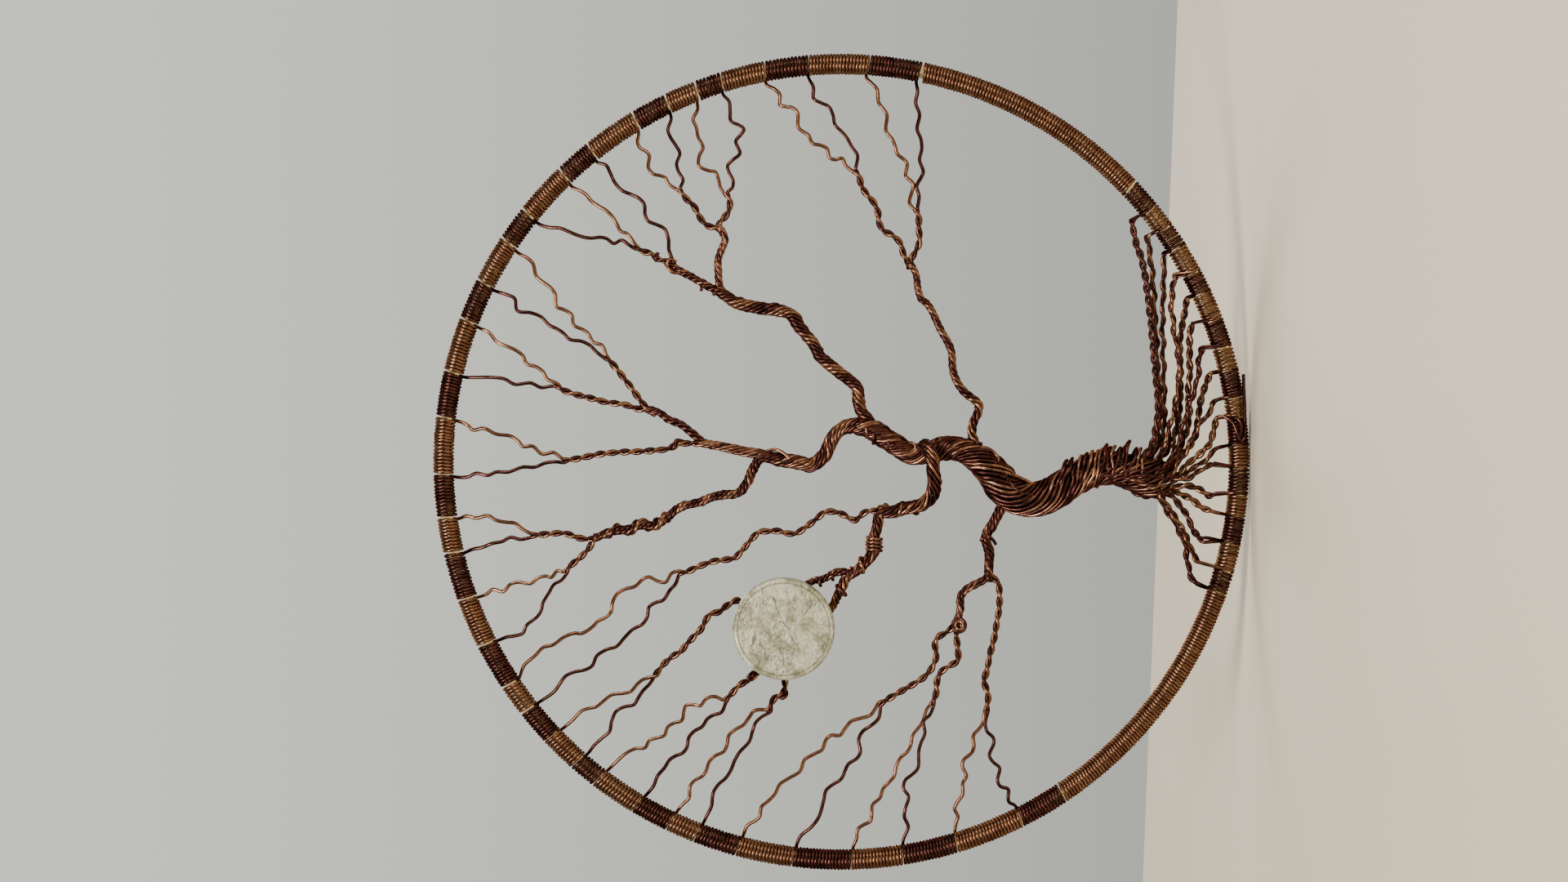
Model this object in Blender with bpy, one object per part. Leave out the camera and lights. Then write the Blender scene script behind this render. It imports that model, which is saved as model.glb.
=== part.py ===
"""Wire tree of life: a tree of twisted copper wires inside a wire-wrapped hoop, with a stone moon.

Metres, +Z up the tree, +X to its right and -Y towards the viewer. The origin is the foot of the hoop.
"""

import math

import bmesh
import bpy
from mathutils import Vector

MM = 0.001

# Driving sizes.
HOOP_OUTER_D = 200 * MM
ROD_D = 3.0 * MM
ROD_FIT = 0.3 * MM
WIRE_D = 0.8 * MM
STONE_D = 25 * MM
STONE_THICK = 5.0 * MM
STONE_BEVEL = 1.2 * MM
STONE_DOME = 0.7 * MM
GLUE_WIDTH = 1.4 * MM
GLUE_THICK = 1.0 * MM
GAP = 0.3 * MM

# How tightly strands pack: a twist of n wires is PACKING * sqrt(n) wires across.
PACKING = 1.35
PAIR_PACKING = 1.06

# How deep a wire's end sinks into its coil, and the sides of the pieces.
SUNK = 0.6 * MM
HOOP_FACETS = 60
HOOP_SIDES = 8
HALF_SIDE = math.pi / HOOP_SIDES
TRUNK_SIDES = 12
THICK_SIDES = 8
THIN_SIDES = 6
WIRE_SIDES = 4
TIE_SIDES = 12
STONE_STEPS = 40
RING_STEPS = 32

# Clearance cut round a piece that another one grows out of, with a little to spare for facets.
CLEAR = 1.1 * GAP

COIL_R = ROD_D / 2 + ROD_FIT + WIRE_D
HOOP_R = HOOP_OUTER_D / 2 - COIL_R
CENTRE_Z = HOOP_OUTER_D / 2
PAIR_D = WIRE_D * 2 * PAIR_PACKING
TWIG_ROOM = 0.95 * WIRE_D
STEM_START = 0.6 * PAIR_D
BARE_END = 1.5 * WIRE_D
TIE_WALL = 0.75 * WIRE_D

# Routes below are millimetres, drawn in a hoop whose rod has this radius and this centre height.
DRAWN_R = 97.4
DRAWN_CENTRE = 100.0
SCALE = HOOP_R / DRAWN_R

# The stone sits on a wire ring behind it, which the prongs and the top pairs run into.
STONE_AT = (-40.8, 114.1)
STONE_BACK_Y = 1.5 * MM
CRADLE_INSET = 1.0 * MM
CRADLE_R = STONE_D / 2 - CRADLE_INSET
CRADLE_Y = STONE_BACK_Y + GAP + STEM_START
CRADLE_REACH = CRADLE_R + WIRE_D / 2 + GAP
CRADLE_HOLD = 2.5 * MM
CRADLE_FADE = 5.0 * MM

# Where each of the 35 twigs meets the hoop, in degrees clockwise from the foot.
TWIG_ANGLES = (
    63.0, 72.9, 80.8, 88.2, 96.6, 104.7, 110.9, 115.1, 120.5, 127.2, 131.1, 136.3,
    141.3, 145.8, 152.5, 159.6, 166.5, 171.6, 177.8, 186.0, 192.6, 200.3, 206.2, 213.0,
    218.0, 225.6, 230.9, 238.6, 243.8, 248.4, 252.3, 258.7, 265.0, 273.7, 281.2,
)
FIRST_TWIG_COIL = 56.5

# Where the root coils begin and end, in degrees clockwise from the foot: 17 coils, left to right.
ROOT_ANGLES = (
    19.2, 15.8, 11.9, 8.0, 4.7, 0.9, -2.3, -6.5, -9.3, -13.1, -16.7, -20.8, -24.9, -28.2,
    -32.3, -35.8, -39.2, -43.5,
)

# One wire each, from just inside the hoop to the stem that it shares.
TWIGS = {
    1: ((-83.5, 58.8), (-82, 59), (-80.3, 59), (-79.5, 61), (-78, 61.7), (-75, 61.2), (-73.5, 62.8),
        (-72, 63.7), (-69, 62.6), (-66, 64.3), (-64, 64.7), (-61.8, 63.7)),
    2: ((-88.5, 71.7), (-85, 72.2), (-83, 71.3), (-81.5, 70.3), (-78.5, 70.2), (-77, 69.3),
        (-74.5, 70.3), (-73, 70), (-71.5, 68.3), (-70, 67.5), (-67, 67.6), (-65.5, 66.3), (-64, 65.3)),
    3: ((-89.5, 83.5), (-87, 84.5), (-85, 84.3), (-82, 83.5), (-80, 84.7), (-78, 84.3), (-76.5, 82.5),
        (-75, 81.2), (-71, 81), (-69, 80.5), (-66.5, 79.5), (-63.5, 79.8), (-62, 78.3)),
    4: ((-92.5, 96.2), (-90, 95.8), (-88, 92.8), (-84, 92.3), (-82.3, 90.5), (-80, 89.7),
        (-78.5, 88.2), (-77, 87), (-74.5, 86.5), (-71, 83.8), (-67, 82.5), (-63.5, 80), (-60.5, 79)),
    5: ((-92, 110), (-89.5, 107.3), (-87, 105.5), (-83, 104.3), (-80.5, 103.7), (-77.7, 100),
        (-74, 98.2), (-72.5, 96), (-71, 95.3), (-68, 95.7), (-66, 94.7), (-64.5, 92.5), (-62.8, 90.8)),
    6: ((-89.3, 123), (-87, 120), (-84.5, 119.5), (-81.5, 116.3), (-79, 115), (-76, 110.3),
        (-73, 109), (-70.5, 104.7), (-68, 103.7), (-67, 102.5), (-67, 100.3), (-63.5, 97.5),
        (-62, 92.8), (-59.5, 91.3)),
    7: ((-87, 133), (-84.5, 131.8), (-81, 131.3), (-77.5, 128.3), (-73, 126), (-68.5, 122.5),
        (-64, 121), (-62.5, 119.5)),
    8: ((-84, 138.8), (-82.5, 137.3), (-79.5, 137), (-77, 134), (-73.5, 132.3), (-71, 128.8),
        (-67, 127.5), (-64.5, 124), (-61, 121.3), (-60.7, 119)),
    9: ((-79.5, 146), (-77, 145), (-73, 142), (-71.3, 138.8), (-70, 137.8), (-67.5, 137.3),
        (-64.8, 134), (-62, 131.3), (-61.3, 129.3)),
    10: ((-73.5, 155), (-71.5, 152.8), (-70, 148), (-68.3, 147), (-67, 143.3), (-65, 142.5),
         (-63.3, 139), (-59.7, 138), (-59.7, 134.5), (-57.5, 131)),
    11: ((-69.5, 160.5), (-66, 156.7), (-63.5, 156.2), (-61, 155), (-59.5, 150.8), (-56, 148.5),
         (-53, 146), (-51.5, 145.5)),
    12: ((-63.5, 166), (-61, 163.5), (-60, 160), (-57, 156), (-56.2, 151.5), (-53.3, 148.5),
         (-52.3, 145), (-50, 143.5)),
    13: ((-56.5, 170.5), (-52.5, 167.5), (-51, 163), (-50, 161), (-47.5, 159.8), (-45.2, 155),
         (-41, 151), (-39.8, 148.7), (-35.5, 147), (-33.8, 143.5), (-29.8, 140.5)),
    14: ((-50, 177.8), (-47.5, 175), (-45.5, 173), (-44.8, 170.5), (-42, 165.5), (-42, 163.5),
         (-38, 157.5), (-36.8, 156.4), (-32.5, 155), (-30.5, 150.5), (-28.2, 147), (-29.5, 143)),
    15: ((-43, 182), (-42, 178), (-38, 174.5), (-34.5, 173), (-32, 171.5), (-30.3, 169)),
    16: ((-32.5, 187), (-31.3, 185.5), (-31.8, 182.8), (-29.5, 179), (-29.8, 176), (-28, 172.5),
         (-28.3, 171)),
    17: ((-21.5, 190.5), (-21, 188), (-18.5, 181), (-19, 178.5)),
    18: ((-13.3, 192), (-13.8, 189.5), (-13.2, 186.5), (-15, 180)),
    19: ((-3.7, 191.5), (-2.8, 189.5), (-3.3, 186.5), (-2.5, 181.5), (-1.3, 178), (-1.3, 175),
         (-0.3, 172.5)),
    20: ((9, 191.7), (7.8, 190.3), (8.2, 187.5), (6.3, 181), (3.8, 178), (3.8, 175.5), (2, 173.5),
         (2.3, 170.5)),
    21: ((20.7, 190), (20.7, 186), (19, 180), (19.3, 176), (18.2, 173.5)),
    22: ((31.8, 186.5), (29.5, 184.5), (27.5, 180), (24, 177), (22, 173), (20.3, 172)),
    23: ((41, 182), (40, 180), (37, 179.3), (35.5, 173.5), (33.5, 171.5), (31.5, 168), (30, 166.5),
         (28.5, 161.5), (27, 160)),
    24: ((50, 177), (48.5, 175.5), (45.5, 174.7), (42.5, 171), (38, 169.7), (36, 166), (33.5, 165.5),
         (31.5, 162), (29.3, 160.7), (28.5, 158.5)),
    25: ((57.5, 171.5), (57.3, 169), (54.8, 161.5), (54.7, 157.5), (53.5, 155.7), (54.3, 153.8)),
    26: ((66.5, 164), (62.7, 159.5), (60, 156), (56.5, 154), (55.8, 152.3)),
    27: ((72.8, 157.7), (68.5, 155.5), (66.5, 153.7), (64.5, 149.5), (63, 148.2), (60.5, 148),
         (59, 147.3), (57, 143.2), (54.5, 142.3), (50.5, 141.7)),
    28: ((78.5, 150), (76, 147.7), (75, 147), (72, 147.2), (70.5, 146), (69.5, 143), (68, 142.2)),
    29: ((84, 141.7), (81.5, 142.5), (77.5, 140.5), (75.5, 139.5), (73, 140.3), (71, 139.8)),
    30: ((86.5, 135.2), (84, 136.3), (82, 135.5), (79.5, 135), (77, 133.8), (75, 134.7), (72.5, 134.8),
         (71, 130.8), (67.6, 129.4)),
    31: ((88.5, 127.5), (83.5, 127), (82.5, 125), (81.5, 123.8), (78.5, 125.8), (75.5, 124.8),
         (72.5, 127.8), (71, 127.5), (67, 126.5)),
    32: ((91.5, 116.3), (90, 115), (87.5, 115), (86.7, 112), (85.5, 110.7), (82, 110.5), (80, 108),
         (78, 107), (76.7, 103.5), (74.5, 102.8), (74.3, 99.8)),
    33: ((92, 106.8), (89, 106.7), (87, 103), (82.5, 101.5), (79.5, 98.7), (75, 96)),
    34: ((93, 92.5), (91.5, 91.2), (88, 90.8), (85, 88.8), (81, 89), (79, 87.5), (75.5, 86.3),
         (73, 83.8), (70, 84.2), (68, 82.3), (66, 82.7), (63.5, 83.3)),
    35: ((91, 81.2), (88, 81.7), (85, 80.8), (81.5, 81.4), (79, 80.5), (76.5, 80.3), (74, 80.8),
         (71, 79.9), (67.5, 81.5), (65, 80.9)),
}

# The stems that pairs of twigs twist into, from the bough out to the fork.
STEMS = {
    "twigs_01_02": ((-28, 63.2), (-30, 61.4), (-32, 61.2), (-36, 61.3), (-43, 62.5), (-47, 63.5),
                    (-51, 64.3), (-54, 65), (-57, 64), (-61.5, 64.5)),
    "twigs_03_04": ((-38, 71.2), (-42.5, 71.8), (-45, 71.5), (-48.8, 71.5), (-50, 73.5), (-51.5, 75.5),
                    (-53.5, 76.5), (-59.5, 77.8)),
    "twigs_05_06": ((-38.5, 71), (-41.5, 73.8), (-43, 76.3), (-44.5, 77), (-47.5, 76.7), (-50.5, 77.8),
                    (-54.3, 82), (-57.5, 87.5), (-59, 90.3)),
    "twigs_07_08": ((-53.6, 113.9), (-56, 114), (-57.3, 115.5), (-59, 117), (-61, 117.5)),
    "twigs_09_10": ((-52.3, 120.6), (-53.5, 123), (-54.8, 125), (-57, 127), (-58.5, 128.3)),
    "twigs_11_12": ((-32.8, 124), (-34.5, 126), (-37.2, 131.8), (-38.5, 133), (-40.5, 134),
                    (-46.5, 139.3), (-47.5, 141), (-49, 143)),
    "twigs_13_14": ((-12.2, 89.5), (-12, 92.5), (-14.3, 96.5), (-12.7, 100), (-12.3, 104), (-17.5, 111),
                    (-17, 118), (-17.2, 120), (-22, 124.5), (-24, 128.5), (-27, 138), (-27, 139.8)),
    "twigs_15_16": ((-18, 158.8), (-19.8, 161), (-24, 164.5), (-27, 167)),
    "twigs_17_18": ((-18.3, 158.8), (-18.7, 164), (-17.5, 168), (-18, 175.8)),
    "twigs_19_20": ((4.4, 132.5), (4.5, 138), (3.3, 142), (2.5, 150), (2, 158), (0.3, 167.8)),
    "twigs_21_22": ((12.8, 146), (13, 150), (14.5, 157), (17.5, 168), (18.7, 169.6)),
    "twigs_23_24": ((12.6, 146), (15.5, 149.5), (21.5, 154), (26.2, 158)),
    "twigs_25_26": ((48.2, 141), (49.7, 145), (51, 146.5), (52.8, 150.6)),
    "twig_27": ((48, 140.9), (49, 141)),
    "twigs_28_29": ((56, 128.9), (57, 130.5), (58, 133), (62.5, 136), (66.7, 139.5)),
    "twigs_30_31": ((56, 129.4), (59.5, 128.7), (61.5, 127.5), (64, 127.3), (65.8, 128.3)),
    "twigs_32_33": ((48, 83), (51, 84.8), (53.5, 85.5), (56.5, 89.5), (61, 91), (67.5, 95),
                    (70, 95.7), (71.2, 97)),
    "twigs_34_35": ((48.3, 83.2), (51.5, 81.8), (54, 80.8), (57, 81), (62, 81.7)),
}

# What each stem grows out of, and the stem beside it in the same fork.
STEM_FORKS = {
    "twigs_01_02": ("bough_low_left", "bough_low_left_fork"),
    "twigs_03_04": ("bough_low_left_fork",),
    "twigs_05_06": ("bough_low_left_fork", "twigs_03_04"),
    "twigs_13_14": ("bough_crossing", "bough_to_stone"),
    "twigs_15_16": ("bough_middle_left",),
    "twigs_17_18": ("bough_middle_left", "twigs_15_16"),
    "twigs_19_20": ("bough_middle_top", "bough_middle_right"),
    "twigs_21_22": ("bough_middle_right",),
    "twigs_23_24": ("bough_middle_right", "twigs_21_22"),
    "twigs_25_26": ("bough_right_up",),
    "twig_27": ("bough_right_up", "twigs_25_26"),
    "twigs_28_29": ("bough_right_out",),
    "twigs_30_31": ("bough_right_out", "twigs_28_29"),
    "twigs_32_33": ("bough_low_right",),
    "twigs_34_35": ("bough_low_right", "twigs_32_33"),
}

# Stems that end on the stone's cradle, with the angle round the stone that they run in at.
STEMS_AT_STONE = {"twigs_07_08": 182.0, "twigs_09_10": 152.0, "twigs_11_12": 58.0}

# The trunk, as (x, z) and how loosely its strands are wound there, with the strands in each stretch.
TRUNK = (
    (35, 1.55, (-4, 19.5)), (35, 1.75, (-3.6, 24)), (35, 1.5, (-1.6, 29)), (35, 1.42, (-1.5, 34.5)),
    (35, 1.32, (-2.6, 39.5)), (35, 1.36, (-5.4, 44.5)), (35, 1.42, (-8.2, 49)),
    (35, 1.42, (-9.2, 54)), (32, 1.42, (-7.9, 58.8)), (29, 1.38, (-3.5, 63.2)),
    (29, 1.3, (1, 67.3)), (25, 1.15, (3.2, 71.3)), (25, 1.05, (3.3, 75)), (22, 1.05, (2.2, 79)),
    (17, 1.15, (2, 83)), (17, 1.15, (4.8, 87.7)), (17, 1.1, (7.8, 92.5)), (17, 1.05, (9, 95)),
)

# Boughs, as strands at the start, the width at the tip as a share of the start's, and the route.
BOUGHS = {
    "bough_low_left": (6, 1.0, ((-9, 58.5), (-13, 61.7), (-17.5, 64.3), (-22, 63.7), (-28.5, 64))),
    "bough_low_left_fork": (4, 0.92, ((-27.5, 63.8), (-29.7, 66.5), (-31, 69), (-33, 70.6),
                                      (-36, 70.8), (-38.8, 71.5))),
    "bough_low_right": (4, 0.82, ((2.5, 67.2), (7, 67.9), (10, 67.5), (14, 66.4), (17, 69.7),
                                  (20, 71.8), (27, 73), (33, 76), (38.5, 78.8), (40.5, 80.5),
                                  (46, 81.8), (48.8, 83.5))),
    "bough_to_stone": (6, 1.0, ((-12.2, 89.8), (-15.5, 91), (-18.6, 91.9), (-21.8, 91.8),
                                (-25.5, 95), (-28.3, 98.5))),
    "bough_middle": (10, 0.97, ((8.8, 94), (8.8, 97.5), (5.5, 102.3), (2, 103.9), (-0.7, 107.5),
                                (0.2, 113), (1.6, 119.5))),
    "bough_middle_left": (4, 1.1, ((1.2, 118.6), (-2, 121.7), (-5.5, 123.3), (-7.8, 126.5),
                                   (-8.5, 131), (-13, 142), (-15.5, 146), (-15.5, 149),
                                   (-17, 156), (-18.5, 159.5))),
    "bough_middle_top": (6, 0.95, ((1.5, 118.6), (2.4, 123), (4, 130.5), (4.5, 133.5))),
    "bough_middle_right": (4, 1.0, ((4.2, 132.3), (7, 136.5), (9, 139), (10.3, 142), (13, 147))),
    "bough_right": (7, 0.92, ((8.2, 93.2), (12.5, 95.3), (17.5, 96), (20.5, 98.5), (25, 104.5),
                              (31, 108.5), (35.5, 111.8), (37, 115), (38.6, 124), (40.5, 128),
                              (42, 130))),
    "bough_right_up": (3, 1.0, ((41.4, 129), (43.5, 133.5), (45.5, 137), (48.5, 142))),
    "bough_right_out": (4, 0.95, ((41.2, 129), (44, 130), (49, 130.2), (54, 128.6), (57, 129.6))),
}
BOUGH_FORKS = {
    "bough_low_left": ("trunk",),
    "bough_low_left_fork": ("bough_low_left",),
    "bough_low_right": ("trunk",),
    "bough_to_stone": ("bough_crossing",),
    "bough_middle": ("trunk",),
    "bough_middle_left": ("bough_middle",),
    "bough_middle_top": ("bough_middle", "bough_middle_left"),
    "bough_middle_right": ("bough_middle_top",),
    "bough_right": ("trunk", "bough_middle"),
    "bough_right_up": ("bough_right",),
    "bough_right_out": ("bough_right", "bough_right_up"),
}

# The bough that crosses the trunk's front: the last number is how far forward, 1 being just clear of it.
CROSSING_STRANDS = 8
CROSSING = (
    (3.4, 79.9, 0.1), (3.9, 79.4, 0.72), (1.0, 78.2, 1.03), (-2.6, 77.7, 0.9), (-6.5, 77.6, 0.5),
    (-9, 78.5, 0.2), (-10.6, 80.5, 0), (-11.6, 84.5, 0), (-12.3, 87.5, 0), (-12.1, 90.5, 0),
)

# Two short prongs under the stone, with the angle round the stone where each meets the cradle.
PRONGS = {
    "prong_left": (291.5, ((-27.5, 97.5), (-30, 99.5), (-33.5, 101.2), (-36, 102))),
    "prong_right": (331.5, ((-27.8, 97.8), (-27.2, 101), (-28.8, 104.5), (-29.8, 108.1))),
}
TIE_FROM = (-18.6, 91.9)
TIE_TO = (-21.8, 91.8)

# Roots, as (x, z, lane): a lane is one root's width in front (-) or behind (+) the hoop's plane.
ROOTS = (
    ((-6, 23.4, 0.5), (-10, 21.4, 0.5), (-13, 19.4, 0.5), (-20, 15.7, 0.45), (-25, 15, 0.45),
     (-28.5, 14, 0.4), (-30.3, 12.3, 0.2)),
    ((-6, 22.8, -0.6), (-10, 20.9, -0.6), (-13, 18.8, -0.6), (-20, 15, -0.6), (-23, 13.8, -0.6),
     (-25.2, 11.8, -0.3)),
    ((-7.8, 20.4, 0), (-10.3, 17.3, 0), (-12.6, 15.7, 0.1), (-17, 13.5, 0.1), (-19, 12.2, 0.1),
     (-18.9, 9.8, 0)),
    ((-6.6, 20.5, 0.7), (-7.7, 17, 0.6), (-8.6, 15, 0.5), (-11.5, 10.8, 0.3), (-12.3, 8.6, 0)),
    ((-6.3, 20.5, -0.4), (-5.9, 15, -0.4), (-6.3, 13, -0.3), (-8.4, 9.6, -0.1), (-7.4, 7.6, 0)),
    ((-4.3, 20.5, -0.8), (-4, 16, -0.8), (-2.7, 13, -0.8), (-0.9, 10.5, -0.5), (-0.4, 8, -0.2)),
    ((-3.6, 20.5, 0.8), (-2.6, 15.5, 0.8), (-1, 12.5, 0.8), (2, 9, 0.4), (4, 7.4, 0)),
    ((-2.6, 20.5, -0.2), (-1.2, 16, -0.2), (1.2, 13.2, -0.2), (4, 10, 0), (7.4, 8.8, 0), (11.6, 8, 0)),
    ((-3.6, 20.6, -1.15), (0.7, 17.2, -1.15), (5, 14.6, -1.1), (8, 13.4, -1), (11, 11, -0.9), (13.8, 9.2, -0.6),
     (15.8, 8.1, -0.2)),
    ((-1.5, 20.8, 0.9), (1.2, 16.6, 0.9), (5, 13.6, 0.8), (10, 12.4, 0.7), (14, 12, 0.5), (20, 10.2, 0.1),
     (22.4, 9.2, 0)),
    ((-3, 22.3, -1.1), (3, 18.4, -1.1), (10, 16.4, -1.1), (15, 14.7, -1.1), (20, 13.2, -1.1),
     (25, 12.6, -0.8), (28.7, 11.5, -0.4)),
    ((-1, 21, 0), (3.4, 17, 0), (8, 15.3, 0), (12, 14.8, 0), (17, 15, 0), (22, 14.6, 0),
     (32, 14.3, 0), (34.8, 13.4, 0)),
    ((-3, 22, 1.1), (4, 19, 1.1), (9, 17.4, 1.1), (15, 16.6, 1.1), (30, 16.6, 1), (37, 15.6, 0.6),
     (40.8, 15.2, 0)),
    ((-3, 22, 0), (4, 20.6, 0), (8, 19.7, 0), (15, 18.1, -0.4), (24, 17.4, -0.6), (32, 18.7, -0.8),
     (40, 19.4, -0.8), (46.4, 17.9, -0.2)),
    ((-3, 23.5, 1.1), (4, 21.8, 1.1), (8, 20.7, 1.1), (20, 20.6, 1.1), (35, 21, 0.9), (46, 21.4, 0.6),
     (50, 21.9, 0.3), (52.2, 20.9, 0.1)),
    ((-3, 24.5, 0), (4, 23.2, 0), (12, 21.9, 0), (24, 22.6, 0), (36, 23.2, 0), (48, 24, 0),
     (56.2, 25.2, 0)),
    ((-3, 26, -1.1), (4, 24.4, -1.1), (12, 22.8, -1.1), (24, 23.6, -1.1), (36, 24.7, -1.1),
     (48, 26.4, -1), (55, 28.4, -0.6), (60.2, 28.6, -0.1)),
)

# Finishes, as colour, metallic and roughness.
BRIGHT_COPPER = ((0.60, 0.33, 0.19, 1), 1.0, 0.34)
DARK_COPPER = ((0.16, 0.07, 0.05, 1), 1.0, 0.42)
MIXED_COPPER = ((0.34, 0.18, 0.11, 1), 1.0, 0.38)
BRASS = ((0.80, 0.60, 0.30, 1), 1.0, 0.30)
STONE = ((0.62, 0.59, 0.45, 1), 0.0, 0.38)
GLUE = ((0.80, 0.80, 0.76, 1), 0.0, 0.20)


for old in list(bpy.data.objects):
    bpy.data.objects.remove(old)
TREE = bpy.data.collections.new("wire_tree_of_life")
CUTTERS = bpy.data.collections.new("cutters")
bpy.context.scene.collection.children.link(TREE)
bpy.context.scene.collection.children.link(CUTTERS)


def bundle_width(strands, looseness=1.0):
    """Width of a twist of this many wires."""
    if strands == 1:
        return WIRE_D
    if strands == 2:
        return PAIR_D
    return WIRE_D * PACKING * math.sqrt(strands) * looseness


LANE = 1.1 * PAIR_D + GAP
CROSSING_D = bundle_width(CROSSING_STRANDS)
CROSSED_D = bundle_width(22, 1.05)
CROSSING_STEP = 0.55 * (CROSSED_D + CROSSING_D) + GAP


def place(x, z, depth=0.0):
    """A drawn point as a place in the hoop's plane, or depth behind it."""
    return Vector((x * SCALE, depth, CENTRE_Z + (z - DRAWN_CENTRE) * SCALE))


def hoop_point(angle, outward=0.0):
    """The point on the faceted line round the hoop, this many radians clockwise from its foot."""
    facet = 2 * math.pi / HOOP_FACETS
    middle = round(angle / facet) * facet
    reach = (HOOP_R + outward) / math.cos(angle - middle)
    return Vector((-math.sin(angle) * reach, 0, CENTRE_Z - math.cos(angle) * reach))


def hoop_arc(start, end):
    """The hoop's line between two angles in radians, with a point at each corner of its facets."""
    facet = 2 * math.pi / HOOP_FACETS
    first = math.ceil(start / facet - 0.5 + 1e-6)
    last = math.floor(end / facet - 0.5 - 1e-6)
    corners = [hoop_point((n + 0.5) * facet) for n in range(first, last + 1)]
    return [hoop_point(start)] + corners + [hoop_point(end)]


def flat_to_round(width, sides):
    """Radius of the corners of a regular section with the same area as a round one this wide."""
    return width / 2 * math.sqrt(2 * math.pi / (sides * math.sin(2 * math.pi / sides)))


def around(width, sides):
    """Radius of the corners of a regular section whose flats are this far apart."""
    return width / 2 / math.cos(math.pi / sides)


def tube(name, points, radii, sides, closed=False, tilt=0.0):
    """A capped tube along the points, as a mesh whose caps are welded to its side."""
    curve = bpy.data.curves.new(name, "CURVE")
    curve.dimensions = "3D"
    curve.bevel_depth = max(radii)
    curve.bevel_resolution = sides // 2 - 2
    curve.use_fill_caps = not closed
    spline = curve.splines.new("POLY")
    spline.points.add(len(points) - 1)
    spline.use_cyclic_u = closed
    for point, place_at, radius in zip(spline.points, points, radii):
        point.co = (*place_at, 1)
        point.radius = radius / max(radii)
        point.tilt = tilt
    guide = bpy.data.objects.new(name + "_guide", curve)
    CUTTERS.objects.link(guide)
    bpy.context.view_layer.update()
    graph = bpy.context.evaluated_depsgraph_get()
    mesh = bpy.data.meshes.new_from_object(guide.evaluated_get(graph))
    mesh.name = name
    work = bmesh.new()
    work.from_mesh(mesh)
    bmesh.ops.remove_doubles(work, verts=work.verts, dist=0.001 * MM)
    bmesh.ops.recalc_face_normals(work, faces=work.faces)
    work.to_mesh(mesh)
    work.free()
    piece = bpy.data.objects.new(name, mesh)
    piece.matrix_world = guide.matrix_world
    bpy.data.objects.remove(guide)
    return piece


def as_cutter(piece):
    CUTTERS.objects.link(piece)
    piece.hide_render = True
    piece.display_type = "WIRE"
    return piece


def as_part(piece, finish):
    """Links a piece under its own name, with a material of its own."""
    colour, metallic, roughness = finish
    material = bpy.data.materials.new(piece.name)
    material.use_nodes = True
    shader = material.node_tree.nodes["Principled BSDF"]
    shader.inputs["Base Color"].default_value = colour
    shader.inputs["Metallic"].default_value = metallic
    shader.inputs["Roughness"].default_value = roughness
    piece.data.materials.clear()
    piece.data.materials.append(material)
    piece.data.shade_smooth()
    piece.data.set_sharp_from_angle(angle=math.radians(50))
    TREE.objects.link(piece)
    return piece


def boolean(piece, other, operation, folded=False):
    """A Boolean step. Folded is for a bend so tight that a thick tube runs through itself there."""
    modifier = piece.modifiers.new(f"{operation.lower()} {other.name}", "BOOLEAN")
    modifier.operation = operation
    modifier.solver = "EXACT"
    modifier.use_self = folded
    modifier.object = other


def grown_tube(name, points, radii, sides):
    """The cutter that leaves GAP round a tube and past its two ends."""
    first = points[0] + (points[0] - points[1]).normalized() * GAP
    last = points[-1] + (points[-1] - points[-2]).normalized() * GAP
    longer = [first] + points[1:-1] + [last]
    return as_cutter(tube(name + "_clearance", longer, [r + CLEAR for r in radii], sides))


CLEARANCES = {}


def bundle(name, points, widths, sides, finish, clear_of=()):
    """A twist of wires as one solid, cut clear of the pieces that it grows out of."""
    radii = [flat_to_round(width, sides) for width in widths]
    piece = as_part(tube(name, points, radii, sides), finish)
    for other in clear_of:
        boolean(piece, CLEARANCES[other], "DIFFERENCE", folded=True)
    CLEARANCES[name] = grown_tube(name, points, radii, sides)
    return piece


def behind_stone(x, z):
    """A drawn point, set back as it nears the stone so that it passes behind it."""
    point = place(x, z)
    beyond = (point - place(*STONE_AT)).length - CRADLE_R - CRADLE_HOLD
    fade = min(max(1 - beyond / CRADLE_FADE, 0), 1)
    point.y = CRADLE_Y * fade * fade * (3 - 2 * fade)
    return point


def from_cradle(degrees, points):
    """A stem that starts just outside the cradle's ring, straight outwards, and then takes the points."""
    centre = place(*STONE_AT)
    outward = Vector((math.cos(math.radians(degrees)), 0, math.sin(math.radians(degrees))))
    behind = centre + Vector((0, CRADLE_Y, 0))
    straight = [behind + outward * CRADLE_REACH, behind + outward * (CRADLE_REACH + PAIR_D)]
    return straight + [p for p in points if (p - centre).length > CRADLE_REACH + 2 * PAIR_D]


# Hoop: a bare rod, hidden under the coils that the wires' ends are wound into.
def make_rod():
    circle = [hoop_point((n + 0.5) * 2 * math.pi / HOOP_FACETS) for n in range(HOOP_FACETS)]
    radii = [around(ROD_D, HOOP_SIDES)] * HOOP_FACETS
    as_part(tube("hoop_rod", circle, radii, HOOP_SIDES, closed=True, tilt=HALF_SIDE), BRASS)
    bores = [around(ROD_D + 2 * ROD_FIT, HOOP_SIDES)] * HOOP_FACETS
    hole = tube("rod_clearance", circle, bores, HOOP_SIDES, closed=True, tilt=HALF_SIDE)
    return as_cutter(hole)


ROD_HOLE = make_rod()


def coil(name, start, end):
    """The outside of a coil wound on the rod between two angles in degrees, before its bore is cut."""
    spare = GAP / 2 / HOOP_R
    line = hoop_arc(math.radians(start) + spare, math.radians(end) - spare)
    return tube(name, line, [around(2 * COIL_R, HOOP_SIDES)] * len(line), HOOP_SIDES, tilt=HALF_SIDE)


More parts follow.
